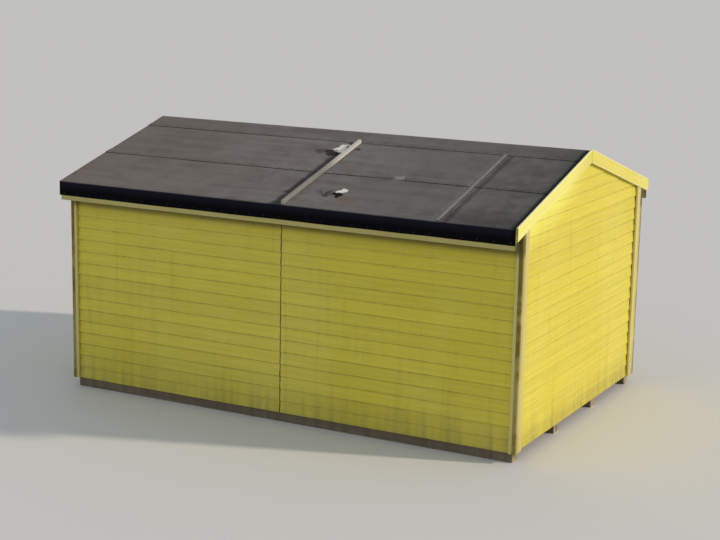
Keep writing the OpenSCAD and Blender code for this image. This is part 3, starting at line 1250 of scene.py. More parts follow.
def batten_places() -> Pair:
    """Give the middles of the tall and the low batten along the hut."""
    low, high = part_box("right_roof_battens")
    return low.y + RoofBattens.width / 2, high.y - RoofBattens.width / 2


def roof_smears() -> tuple[Smear, ...]:
    """Give the bands beside the battens: a dark one before the tall one, bitumen and its painted shadow, and
    a pale and a dark one at the low one.

    Returns:
        The bands, in the order in which they are laid.
    """
    tall_y, low_y = batten_places()
    pale = (0.33, 0.32, 0.30)
    return (
        # Painted shadow of the tall batten on the felt before it, with bitumen.
        Smear(tall_y - 0.0625, 0.125, BITUMEN_AND_SHADOW, 0.6),
        Smear(low_y - 0.030, 0.060, pale, 0.40),
        Smear(low_y + 0.070, 0.055, BITUMEN_AND_SHADOW, 0.40),
    )


def roof_splashes(hut: HutFrame) -> tuple[Splash, ...]:
    """Give the patches on the right slope: bird lime with dark patches round it, damp and painted shadow, and
    a brown bloom.

    Args:
        hut: Sizes of the hut.

    Returns:
        The patches, in the order in which they are laid.
    """
    lime, darkness, rusty = (0.86, 0.82, 0.75), (0.012, 0.011, 0.010), (0.20, 0.125, 0.085)
    return (
        Splash(hut.on_felt(0.30, 0.85), 0.16, rusty, 0.35),
        Splash(hut.on_felt(0.62, 1.56), 0.09, rusty, 0.6),
        # Dark patches beside the bird lime: damp, and painted shadows of small raised lumps there.
        Splash(hut.on_felt(-0.17, 0.52), 0.060, darkness, 0.5),
        Splash(hut.on_felt(-0.06, 0.53), 0.075, darkness, 0.85),
        Splash(hut.on_felt(0.17, 0.42), 0.045, darkness, 0.6),
        Splash(hut.on_felt(-0.01, 0.42), 0.075, lime),
        # Dark patches beside the bird lime: damp, and painted shadows of small raised lumps there.
        Splash(hut.on_felt(0.30, 1.42), 0.045, darkness, 0.35),
        Splash(hut.on_felt(0.39, 1.44), 0.050, darkness, 0.6),
        Splash(hut.on_felt(0.47, 1.45), 0.065, darkness),
        Splash(hut.on_felt(0.49, 1.35), 0.045, lime),
        Splash(hut.on_felt(0.88, 0.98), 0.05, lime, 0.18),
    )


# Walls


@dataclass(frozen=True)
class LappedBoards:
    """Rebated weatherboard, laid level, each board's foot over the head of the one below.

    The face wears over worn_w above the foot. Grime and painted shade begin lap_clear_w below the lap and
    are heavy lap_dark_w below it, and play and slack are the room round the head of the board below.
    """

    cover: float = 0.115
    lap: float = 0.011
    foot: float = 0.020
    head: float = 0.0095
    arris: float = 0.0018
    worn_w: float = 0.006
    lap_clear_w: float = 0.016
    lap_dark_w: float = 0.004
    play: float = 0.002
    slack: float = 0.0006
    nail_up: float = 0.026
    stud_pitch: float = 0.45
    plank: Plank = Plank(step=0.45, sway=0.0007, end_wear=0.006)
    nail: Nail = Nail()

    def section(self) -> Section:
        """Outline of one board: u is the height above its foot, v how far it stands out from the frame.

        Returns:
            The outline's points in order.
        """
        top = self.cover + self.lap
        rebate_u, rebate_v = self.lap + self.play, self.head + self.slack
        face = ((self.arris + self.worn_w, 0.0), (self.cover / 2, 0.0), (self.cover - self.lap_clear_w, 0.0),
                (self.cover - self.lap_dark_w, 0.8), (self.cover + self.play, 1.0))
        return [
            Corner(0.0, self.foot - self.arris, 1.0),
            Corner(self.arris, self.foot, 1.0),
            *(Corner(u, self.face(u), shelter=shelter) for u, shelter in face),
            Corner(top, self.head, shelter=1.0),
            Corner(top, 0.0),
            Corner(rebate_u, 0.0),
            Corner(rebate_u, rebate_v, shelter=1.0),
            Corner(0.0, rebate_v, shelter=1.0),
        ]

    def face(self, u: float) -> float:
        """How far the face stands out from the frame, u above the foot."""
        share = (u - self.arris) / (self.cover + self.lap - self.arris)
        return self.foot + (self.head - self.foot) * share


@dataclass
class BoardedWall:
    """One wall panel of lapped boards, cut to its outline."""

    node: str
    hut: HutFrame
    facing: Facing
    low: float
    high: float
    begin: Line
    stop: Line
    side: Side = Side.RIGHT
    end: End = End.BACK
    boards: LappedBoards = LappedBoards()
    smallest: float = 0.012
    nail_in: float = 0.03
    nail_margin: float = 0.01

    def at(self, along: float, z: float, out: float) -> Vector:
        """Give the point at a distance along the wall, a height, and a distance out from the frame."""
        sideways = self.facing is Facing.SIDEWAYS
        return Vector((self.hut.frame_x + out, along, z) if sideways else (along, self.hut.frame_y + out, z))

    def far_end(self, z: float) -> float:
        """Where the board at a height stops, always past where it begins."""
        return max(self.stop(z), self.begin(z) + MILLIMETRE)

    def dress(self, palette: Palette) -> None:
        """Draw the boards and their nails, and put them in the place of the plain panel.

        Args:
            palette: Finishes of the hut.
        """
        draft = Draft(self.node + "_boards", self.side, self.end)
        courses = math.ceil((self.high - self.hut.board_z) / self.boards.cover)
        for course in range(courses):
            self._course(draft, self.hut.board_z + course * self.boards.cover)
        draft.build(palette.wall, [self.node])

    def _course(self, draft: Draft, foot_z: float) -> None:
        """Draw one board, if enough of it is left, and its nails.

        Args:
            draft: Piece to draw into.
            foot_z: Height of the board's foot.
        """
        section = clipped(self.boards.section(), self.low - foot_z, self.high - foot_z)
        if not section:
            return
        bottom, top = min(corner.u for corner in section), max(corner.u for corner in section)
        middle = foot_z + (bottom + top) / 2
        if top - bottom < self.smallest or self.stop(middle) - self.begin(middle) < 2 * self.smallest:
            return
        self.boards.plank.draw(
            draft, section,
            lambda u, v: self.at(self.begin(foot_z + u), foot_z + u, v),
            lambda u, v: self.at(self.far_end(foot_z + u), foot_z + u, v))
        nail_u = self.boards.nail_up
        if not bottom + self.nail_margin < nail_u < top - self.nail_margin:
            return
        z = foot_z + nail_u
        face = self.boards.face(nail_u)
        out = ACROSS if self.facing is Facing.SIDEWAYS else ALONG
        first, last = self.begin(z) + self.nail_in, self.stop(z) - self.nail_in
        for along in spread(first, last, self.boards.stud_pitch):
            self.boards.nail.draw(draft, self.at(along, z, face), out)


@dataclass
class Walls:
    """All the boarded walls of the hut, each a little short of the roof."""

    hut: HutFrame
    apex_gap: float = 0.006
    head_gap: float = 0.004
    eave_gap: float = 0.001

    def dress(self, palette: Palette) -> None:
        """Draw the four side panels, the back gable and the parts of the front gable.

        Args:
            palette: Finishes of the hut.
        """
        hut = self.hut
        for side in Side:
            for end in End:
                self._side_panel(side, end).dress(palette)
        top = hut.apex_z - self.apex_gap
        BoardedWall("back_wall", hut, Facing.ENDWAYS, hut.board_z, top, lambda z: -hut.reach(z, hut.half_w),
                    lambda z: hut.reach(z, hut.half_w)).dress(palette)
        over_low, over_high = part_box("front_wall_over_door")
        doorway_x = over_high.x
        for side in Side:
            BoardedWall(f"front_wall_{side.name.lower()}", hut, Facing.ENDWAYS, hut.board_z,
                        hut.under(doorway_x) - self.head_gap, lambda z: doorway_x,
                        lambda z: hut.reach(z, hut.half_w), side, End.FRONT).dress(palette)
        BoardedWall("front_wall_over_door", hut, Facing.ENDWAYS, over_low.z, top,
                    lambda z: -hut.reach(z, doorway_x), lambda z: hut.reach(z, doorway_x),
                    end=End.FRONT).dress(palette)
        BoardedWall("front_wall_under_door", hut, Facing.ENDWAYS, hut.board_z, hut.room_z,
                    lambda z: -doorway_x, lambda z: doorway_x, end=End.FRONT).dress(palette)

    def _side_panel(self, side: Side, end: End) -> BoardedWall:
        """Give one of the two panels of a side wall.

        Args:
            side: Side that the wall is on.
            end: End that the panel is at.

        Returns:
            The panel.
        """
        node = f"{side.name.lower()}_wall_{end.name.lower()}_panel"
        low, high = quadrant_box(node, side, end)
        top = self.hut.under(self.hut.half_w) - self.eave_gap
        return BoardedWall(node, self.hut, Facing.SIDEWAYS, low.z, top, lambda z: low.y, lambda z: high.y,
                           side, end)


# Trim


@dataclass
class BargeBoard:
    """The board that covers the end of one roof slope, mitred at the ridge and cut plumb at the eave."""

    hut: HutFrame
    side: Side
    end: End
    arris: float = 0.004
    plank: Plank = Plank(step=0.3, sway=0.0004, end_soak_and_shade=1.0)
    nail: Nail = Nail(radius=0.0045, height=0.0012)
    nail_pitch: float = 0.30
    nail_in: float = 0.05
    nail_rows: Pair = (0.3, 0.62)

    @property
    def node(self) -> str:
        """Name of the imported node."""
        return f"{self.end.name.lower()}_{self.side.name.lower()}_barge_board"

    def lower_edge(self, x: float) -> float:
        """Height of the board's lower edge at a distance x from the middle of the hut."""
        low, high = quadrant_box(self.node, self.side, self.end)
        return low.z + (high.x - x) * self.hut.slope

    def dress(self, palette: Palette) -> None:
        """Draw the board with its nails.

        Args:
            palette: Finishes of the hut.
        """
        slope = self.hut.slope
        low, high = quadrant_box(self.node, self.side, self.end)
        fall = high.x * slope
        depth = high.z - low.z - fall
        draft = Draft(self.node + "_trim", self.side, self.end)
        face_y = high.y - self.nail.height
        section = squared_section(depth, face_y - low.y, self.arris)
        self.plank.lay(draft, section, Vector((0.0, low.y, high.z - depth)),
                       Vector((high.x, low.y, high.z - depth - fall)), UP, ALONG)
        for x in spread(self.nail_in, high.x - self.nail_in, self.nail_pitch):
            for up in self.nail_rows:
                place = Vector((x, face_y, high.z - x * slope - depth * (1 - up)))
                self.nail.draw(draft, place, ALONG)
        draft.build(palette.trim, [self.node])


@dataclass
class CornerBoards:
    """Two boards that close a corner, one on the gable and one on the side wall, cut back behind the barge.

    The edge of the side wall's board has lost its paint over bare_w, and the gable's board is darker over
    dark_w in from its outer edge.
    """

    hut: HutFrame
    side: Side
    end: End
    arris: float = 0.003
    bare_w: float = 0.034
    dark_w: float = 0.065
    darkness: float = 0.5
    ledge: float = 0.0002
    plank: Plank = Plank(step=0.4, sway=0.0005)
    bare_plank: Plank = Plank(step=0.4, sway=0.0005, end_soak_and_shade=1.0, soak=1.0)
    nail: Nail = Nail(radius=0.004)
    nail_pitch: float = 0.45
    nail_in: float = 0.028
    nail_low: float = 0.06
    nail_high: float = 0.14
    nail_stagger: float = 0.05

    def dress(self, palette: Palette) -> None:
        """Draw both boards with their nails.

        Args:
            palette: Finishes of the hut.
        """
        hut = self.hut
        node = f"{self.end.name.lower()}_{self.side.name.lower()}_corner_board"
        low, high = quadrant_box(node, self.side, self.end)
        draft = Draft(node + "s", self.side, self.end)
        thickness = high.x - hut.half_w
        width = hut.half_w - low.x
        gable = darkened_edge(squared_section(width, thickness, self.arris), width - self.dark_w, self.darkness)
        thinned = (hut.deck_y - hut.half_l) / thickness
        self._cut_back(draft, self.plank, gable, low.z, lambda u, v: (low.x + u, hut.half_l + v),
                       lambda u, v: (low.x + u, hut.half_l + v * thinned))
        bare_y = high.y - self.bare_w
        painted = squared_section(bare_y - low.y, thickness, self.arris)
        self.plank.draw(draft, painted, *raised(lambda u, v: (hut.half_w + v, low.y + u), lambda x: low.z,
                                                hut.under))
        bare = squared_section(self.bare_w, thickness, self.arris)
        narrowed = (hut.deck_y - bare_y) / self.bare_w
        self._cut_back(draft, self.bare_plank, bare, low.z, lambda u, v: (hut.half_w + v, bare_y + u),
                       lambda u, v: (hut.half_w + v, bare_y + u * narrowed))
        self._nails(draft, low, high)
        draft.build(palette.corner, [node])

    def _cut_back(self, draft: Draft, plank: Plank, section: Section, foot_z: float, plan: Plan,
                  head_plan: Plan) -> None:
        """Draw one board, with its head cut back behind the barge board.

        Args:
            draft: Piece to draw into.
            plank: How the board is drawn.
            section: Outline across the grain.
            foot_z: Height of the board's foot.
            plan: Gives the x and y of a section point.
            head_plan: Gives them above the barge board's lower edge.
        """
        barge = BargeBoard(self.hut, self.side, self.end)
        plank.draw(draft, section, *raised(plan, lambda x: foot_z, barge.lower_edge),
                   *raised(head_plan, lambda x: barge.lower_edge(x) + self.ledge, self.hut.under))

    def _nails(self, draft: Draft, low: Vector, high: Vector) -> None:
        """Draw the nails of both boards, below the barge board.

        Args:
            draft: Piece to draw into.
            low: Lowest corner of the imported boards.
            high: Their highest corner.
        """
        hut = self.hut
        for z in spread(low.z + self.nail_low, hut.under(high.x) - self.nail_high, self.nail_pitch):
            for x in (low.x + self.nail_in, hut.half_w - self.nail_in):
                self.nail.draw(draft, Vector((x, high.y, z)), ALONG)
            painted_y = (low.y + high.y - self.bare_w) / 2
            self.nail.draw(draft, Vector((high.x, painted_y, z + self.nail_stagger)), ACROSS)


@dataclass
class Fascia:
    """The board along an eave, bare below the felt."""

    hut: HutFrame
    side: Side
    arris: float = 0.003
    # Its ends are painted near black as the shadow under the barge boards.
    plank: Plank = Plank(step=0.4, sway=0.0007, end_soak_and_shade=1.0)

    def dress(self, palette: Palette) -> None:
        """Draw the board.

        Args:
            palette: Finishes of the hut.
        """
        node = f"{self.side.name.lower()}_fascia"
        low, high = quadrant_box(node, self.side, End.BACK)
        draft = Draft(node + "_board", self.side)
        section = squared_section(self.hut.under(high.x) - low.z, high.x - low.x, self.arris)
        self.plank.lay(draft, section, low, Vector((low.x, high.y, low.z)), UP, ACROSS)
        draft.build(palette.fascia, [node])


# Roof


@dataclass
class RoofBoards:
    """One panel of roof boards, laid from the ridge to the eave."""

    hut: HutFrame
    side: Side
    end: End
    board_w: float = 0.12
    joint: float = 0.0015
    arris: float = 0.004
    margin: float = 0.003
    plank: Plank = Plank(step=0.6, sway=0.0)

    def dress(self, palette: Palette) -> None:
        """Draw the panel's boards.

        Args:
            palette: Finishes of the hut.
        """
        hut = self.hut
        node = f"roof_{self.side.name.lower()}_{self.end.name.lower()}_panel"
        low, high = quadrant_box(node, self.side, self.end)
        draft = Draft(node + "_boards", self.side, self.end)
        count = round((high.y - low.y) / self.board_w)
        width = (high.y - low.y) / count
        section = squared_section(width - self.joint, hut.deck_t, self.arris, self.margin)
        for i in range(count):
            y0 = low.y + i * width + self.joint / 2
            self.plank.lay(draft, section, Vector((0.0, y0, hut.apex_z)),
                           Vector((hut.eave_x, y0, hut.under(hut.eave_x))), ALONG, UP / hut.square)
        draft.build(palette.deck, [node])


class Station(NamedTuple):
    """A point on the line that a felt strip follows, with the way out of the surface and its shelter."""

    x: float
    z: float
    out_x: float
    out_z: float
    shelter: float = 0.0

    @property
    def out(self) -> Vector:
        """Direction out of the surface."""
        return Vector((self.out_x, 0, self.out_z))


@dataclass
class FeltStrip:
    """A strip of felt laid along the roof over a line of stations."""

    line: Sequence[Station]
    front: float
    back: float
    thickness: float
    lift: float = 0.0016
    step: float = 0.045
    edge_wander: float = 0.004
    noise_span: float = 90.0
    tarred: float = 1.0

    def draw(self, draft: Draft) -> None:
        """Draw the strip with its ripples, its slightly uneven lower edge and its back edge painted dark as
        shadow.

        Args:
            draft: Piece to draw into.
        """
        count = round((self.back - self.front) / self.step)
        seed = draft.rng.uniform(0, self.noise_span)
        # Painted shadow of the back barge board, along the strip's back edge.
        verge_shade = {count: self.tarred, count - 1: self.tarred / 2}
        top, base = [], []
        run = 0.0
        for row, station in enumerate(self.line):
            if row:
                run += math.hypot(station.x - self.line[row - 1].x, station.z - self.line[row - 1].z)
            outer, inner = [], []
            hang = max(0.0, station.out_x - 0.5) * 2
            for i, y in enumerate(even(self.front, self.back, count)):
                stray_x, stray_z = self._wander(row, y, seed)
                place = Vector((station.x + stray_x, y, station.z + stray_z))
                out = self.thickness + self._ripple(run, y, seed) - hang * self.lift
                edge = 1.0 if row in (0, len(self.line) - 1) or i in (0, count) else 0.0
                shelter = max(verge_shade.get(i, 0.0), station.shelter)
                outer.append(Knot(place + station.out * out, y, run, edge, shelter))
                inner.append(Knot(place, y, run, edge, 1.0))
            top.append(outer)
            base.append(inner)
        draft.cloak(top, base, draft.rng.uniform(-1, 1))

    def _ripple(self, run: float, y: float, seed: float) -> float:
        """Height of the felt's ripples above its own thickness, run across the strip and y along it."""
        slack, creases = (run * 3.0, y * 1.7, seed), (run * 1.2, y * 9.0, seed + 7)
        return self.lift * min(1.0, max(0.0, 0.5 + 0.6 * noise.noise(slack) + 0.5 * noise.noise(creases)))

    def _wander(self, row: int, y: float, seed: float) -> Pair:
        """How far a row strays from its line, which only the last one does.

        Args:
            row: Number of the row.
            y: Distance along the strip.
            seed: Place in the noise.

        Returns:
            The stray in x and z.
        """
        if row != len(self.line) - 1:
            return 0.0, 0.0
        before, after = self.line[-2], self.line[-1]
        way = Vector((after.x - before.x, after.z - before.z)).normalized()
        stray = self.edge_wander * (noise.noise(Vector((0.0, y * 2.3, seed))) - 0.5)
        return way.x * stray, way.y * stray


@dataclass
class RoofFelt:
    """The felt of one slope: a lower strip turned down over the eave, and an upper strip lapped over it."""

    hut: HutFrame
    side: Side
    lap_down: float = 1.02
    lap_w: float = 0.08
    head_s: float = 0.02
    row_step: float = 0.055
    rise: Pair = (0.012, 0.004)
    lap_shelter: float = 0.35
    bend_r: float = 0.008
    bend_rows: int = 5
    bend_shelter: Pair = (0.2, 0.88)
    skirt_step: float = 0.03
    inset: float = 0.0015
    pressed: float = 0.0001

    def dress(self, palette: Palette) -> None:
        """Draw both strips.

        Args:
            palette: Finishes of the hut.
        """
        node = f"{self.side.name.lower()}_roof_felt"
        draft = Draft(node + "_strips", self.side)
        front, back = self.inset - self.hut.verge_y, self.hut.deck_y - self.inset
        for line in (self._lower_line(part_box(node)[0].z), self._upper_line()):
            FeltStrip(line, front, back, self.hut.felt_t).draw(draft)
        draft.build(palette.felt, [node], crease=50.0)

    def on_slope(self, s: float, t: float) -> Station:
        """Give the station s down the slope from the ridge and t above the roof boards, square to them."""
        hut = self.hut
        return Station(s * hut.square, hut.under(s * hut.square, hut.deck_t + t),
                       hut.slope * hut.square, hut.square)

    def _marks(self, begin: float, stop: float) -> list[float]:
        """Give even distances down the slope, about a row's step apart."""
        return even(begin, stop, max(2, round((stop - begin) / self.row_step)))

    def _lower_line(self, skirt_z: float) -> list[Station]:
        """Give the stations of the strip that turns down over the fascia.

        Args:
            skirt_z: Height of the skirt's lower edge.

        Returns:
            The stations, from the strip's head to the skirt's edge.
        """
        hut = self.hut
        bend_x = hut.eave_x - self.pressed - self.bend_r * (1 - hut.slope * hut.square)
        marks = self._marks(self.lap_down - self.lap_w, bend_x / hut.square)
        line = [self.on_slope(s, 0.0) for s in marks]
        centre_z = line[-1].z - self.bend_r * hut.square
        centre_x = line[-1].x - self.bend_r * hut.slope * hut.square
        start_turn = math.atan(hut.slope)
        # The shelter value rises round the bend and down the skirt, and the felt paints it as shade.
        bend_low, bend_high = self.bend_shelter
        for i in range(1, self.bend_rows + 1):
            share = i / self.bend_rows
            turn = start_turn + (math.pi / 2 - start_turn) * share
            out_x, out_z = math.sin(turn), math.cos(turn)
            line.append(Station(centre_x + self.bend_r * out_x, centre_z + self.bend_r * out_z, out_x, out_z,
                                bend_low + (bend_high - bend_low) * share))
        fall = line[-1].z - skirt_z
        face_x = line[-1].x
        drops = max(2, round(fall / self.skirt_step))
        for i in range(1, drops + 1):
            line.append(Station(face_x, line[-1].z - fall / drops, 1.0, 0.0,
                                bend_high + (1 - bend_high) * i / drops))
        return line

    def _upper_line(self) -> list[Station]:
        """Give the stations of the strip that starts under the ridge felt.

        Returns:
            The stations, from the strip's head to its edge on the lower strip.
        """
        edge = self.lap_down - self.lap_w
        before, after = self.rise
        marks = sorted([*self._marks(self.head_s, self.lap_down), edge - before, edge + after])
        line = []
        for s in marks:
            share = min(1.0, max(0.0, (s - edge + before) / (before + after)))
            line.append(self.on_slope(s, share * (self.hut.felt_t + FeltStrip.lift)))
        # The strip's lower edge on the lap is darkened as painted shadow, with some dirt.
        line[-1] = line[-1]._replace(shelter=self.lap_shelter)
        return line


@dataclass
class RidgeFelt:
    """The strip of felt folded over the ridge."""

    hut: HutFrame
    reach: float = RIDGE_REACH
    row_step: float = 0.045
    fold_r: float = 0.02
    front_in: float = 0.003
    back_in: float = 0.002

    def dress(self, palette: Palette) -> None:
        """Draw the strip.

        Args:
            palette: Finishes of the hut.
        """
        hut = self.hut
        lay = hut.deck_t + hut.felt_t + FeltStrip.lift
        rows = max(2, round(self.reach / self.row_step))
        line: list[Station] = []
        for i in range(-rows, rows + 1):
            x = self.reach * i / rows * hut.square
            turn = math.atan(hut.slope) * max(-1.0, min(1.0, x / self.fold_r))
            line.append(Station(x, hut.under(x, lay), math.sin(turn), math.cos(turn)))
        draft = Draft("ridge_felt_strip")
        FeltStrip(line, self.front_in - hut.verge_y, hut.deck_y - self.back_in, hut.felt_t).draw(draft)
        draft.build(palette.felt, ["ridge_felt"], crease=50.0)


@dataclass
class Clouts:
    """Rows of tarred clout nails that hold the felt."""

    hut: HutFrame
    felt: RoofFelt
    ridge: RidgeFelt
    head: Nail = Nail(radius=0.006, height=0.0012, sides=8)
    pitch: float = 0.15
    edge: float = 0.025
    verge_in: float = 0.035
    row_in: float = 0.05
    row_stray: float = 0.008
    below_ridge: float = 0.06
    skirt_in: float = 0.04
    skirt_stray: float = 0.01

    def dress(self, palette: Palette) -> None:
        """Draw the nails along the laps, the front verge and the skirts.

        Args:
            palette: Finishes of the hut.
        """
        hut = self.hut
        draft = Draft("felt_clouts")
        skirt_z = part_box("right_roof_felt")[0].z + self.edge
        face_x = hut.tip_x - self.head.height
        on_one = hut.felt_t + FeltStrip.lift
        for side in Side:
            draft.side = side
            for s in (self.felt.lap_down - self.edge, self.ridge.reach - self.edge):
                station = self.felt.on_slope(s, 2 * on_one)
                for y in spread(self.row_in - hut.deck_y, hut.deck_y - self.row_in, self.pitch):
                    stray = draft.rng.uniform(-self.row_stray, self.row_stray)
                    self.head.draw(draft, Vector((station.x, y + stray, station.z)), station.out)
            eave_s = hut.eave_x / hut.square
            for s in spread(self.ridge.reach + self.below_ridge, eave_s - self.row_in, self.pitch):
                station = self.felt.on_slope(s, on_one)
                place = Vector((station.x, self.verge_in - hut.verge_y, station.z))
                self.head.draw(draft, place, station.out)
            for y in spread(self.skirt_in - hut.deck_y, hut.deck_y - self.skirt_in, self.pitch):
                stray = draft.rng.uniform(-self.skirt_stray, self.skirt_stray)
                self.head.draw(draft, Vector((face_x, y + stray, skirt_z)), ACROSS)
        draft.build(palette.clout)


@dataclass
class RoofBattens:
    """Battens nailed down the slope: a tall pale one and a low grey one."""

    hut: HutFrame
    side: Side
    width: float = 0.032
    tall_t: float = 0.034
    low_t: float = 0.012
    arris: float = 0.002
    begin: float = RIDGE_REACH
    short: float = 0.012
    plank: Plank = Plank(step=0.3, sway=0.0008)
    nail: Nail = Nail(radius=0.004)
    nail_pitch: float = 0.3
    nail_in: float = 0.05

    def dress(self, palette: Palette) -> None:
        """Draw both battens as pieces of their own.

        Args:
            palette: Finishes of the hut.
        """
        tall_y, low_y = batten_places()
        self._batten("tall", tall_y, self.tall_t, palette.batten)
        self._batten("low", low_y, self.low_t, palette.grey_batten)

    def _batten(self, word: str, middle_y: float, thickness: float, material: Material) -> None:
        """Draw one batten and its nails.

        Args:
            word: What the batten is called.
            middle_y: Place of its middle along the hut.
            thickness: How far it stands up from the felt.
            material: Its finish.
        """
        hut = self.hut
        side = self.side.name.lower()
        draft = Draft(f"{side}_{word}_batten", self.side)
        lay = hut.deck_t + 2 * hut.felt_t
        x0, x1 = self.begin * hut.square, hut.tip_x - self.short
        y0 = middle_y - self.width / 2
        section = squared_section(self.width, thickness, self.arris)
        self.plank.lay(draft, section, Vector((x0, y0, hut.under(x0, lay))),
                       Vector((x1, y0, hut.under(x1, lay))), ALONG, UP / hut.square)
        out = Vector((hut.slope, 0, 1))
        for x in spread(x0 + self.nail_in, x1 - self.nail_in, self.nail_pitch):
            self.nail.draw(draft, Vector((x, middle_y, hut.under(x, lay + thickness))), out)
        draft.build(material, [f"{side}_roof_battens"])


# Doorway


@dataclass
class DoorFrame:
    """The jambs and head that line the doorway, and its sill."""

    hut: HutFrame
    arris: float = 0.003
    sill_arris: float = 0.005
    plank: Plank = Plank(step=0.5, sway=0.0)

    def dress(self, palette: Palette) -> None:
        """Draw the jambs, the head and the sill.

        Args:
            palette: Finishes of the hut.
        """
        low, high = quadrant_box("door_frame", Side.RIGHT, End.FRONT)
        sill_low, sill_high = quadrant_box("door_sill", Side.RIGHT, End.FRONT)
        clear_x = sill_high.x
        jamb_t = high.x - clear_x
        draft = Draft("door_frame_boards", end=End.FRONT)
        section = squared_section(jamb_t, high.y - low.y, self.arris)
        for x in (-high.x, clear_x):
            self.plank.lay(draft, section, Vector((x, low.y, low.z)), Vector((x, low.y, high.z)),
                           ACROSS, ALONG)
        head_z = high.z - jamb_t
        self.plank.lay(draft, section, Vector((-clear_x, low.y, head_z)), Vector((clear_x, low.y, head_z)),
                       UP, ALONG)
        draft.build(palette.trim, ["door_frame"])
        sill = Draft("door_sill_board", end=End.FRONT)
        section = squared_section(sill_high.z - sill_low.z, sill_high.y - sill_low.y, self.sill_arris)
        self.plank.lay(sill, section, sill_low, Vector((clear_x, sill_low.y, sill_low.z)), UP, ALONG)
        sill.build(palette.trim, ["door_sill"])


@dataclass
class DoorLeaf:
    """One ledged and braced door leaf of upright boards."""

    hut: HutFrame
    side: Side
    board_w: float = 0.125
    joint: float = 0.0006
    groove: float = 0.004
    margin: float = 0.003
    ledge_w: float = 0.10
    ledge_in: float = 0.15
    ledge_arris: float = 0.003
    plank: Plank = Plank(step=0.45, sway=0.0003)
    ledge: Plank = Plank(step=0.4, sway=0.0)
    nail: Nail = Nail()
    nail_ups: Pair = (0.25, 0.75)
    nail_shares: Pair = (0.28, 0.72)

    def dress(self, palette: Palette) -> None:
        """Draw the boards, ledges and braces, and the clenched nails.

        Args:
            palette: Finishes of the hut.
        """
        node = f"{self.side.name.lower()}_door"
        low, high = quadrant_box(node, self.side, End.FRONT)
        frame_y = self.hut.frame_y
        draft = Draft(node + "_boards", self.side, End.FRONT)
        count = round((high.x - low.x) / self.board_w)
        width = (high.x - low.x) / count
        section = squared_section(width - self.joint, high.y - frame_y, self.groove, self.margin)
        ledges = [low.z + self.ledge_in, (low.z + high.z - self.ledge_w) / 2,
                  high.z - self.ledge_in - self.ledge_w]
        for i in range(count):
            x0 = low.x + i * width
            self.plank.lay(draft, section, Vector((x0, frame_y, low.z)), Vector((x0, frame_y, high.z)),
                           ACROSS, ALONG)
            for z in ledges:
                for up in self.nail_ups:
                    for share in self.nail_shares:
                        place = Vector((x0 + width * share, high.y, z + self.ledge_w * up))
                        self.nail.draw(draft, place, ALONG)
        self._backing(draft, low, high, ledges)
        draft.build(palette.wall, [node])

    def _backing(self, draft: Draft, low: Vector, high: Vector, ledges: Sequence[float]) -> None:
        """Draw the ledges across the boards' inner face and the braces between them.

        Args:
            draft: Piece to draw into.
            low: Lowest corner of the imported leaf.
            high: Its highest corner.
            ledges: Heights of the ledges' lower edges.
        """
        w = self.ledge_w
        section = squared_section(w, self.hut.frame_y - low.y, self.ledge_arris)
        for z in ledges:
            self.ledge.lay(draft, section, Vector((low.x, low.y, z)), Vector((high.x, low.y, z)), UP, ALONG)
        for foot, head in zip(ledges, ledges[1:]):
            self.ledge.lay(draft, section, Vector((high.x - w, low.y, foot + w)),
                           Vector((low.x, low.y, head)), ACROSS, ALONG)


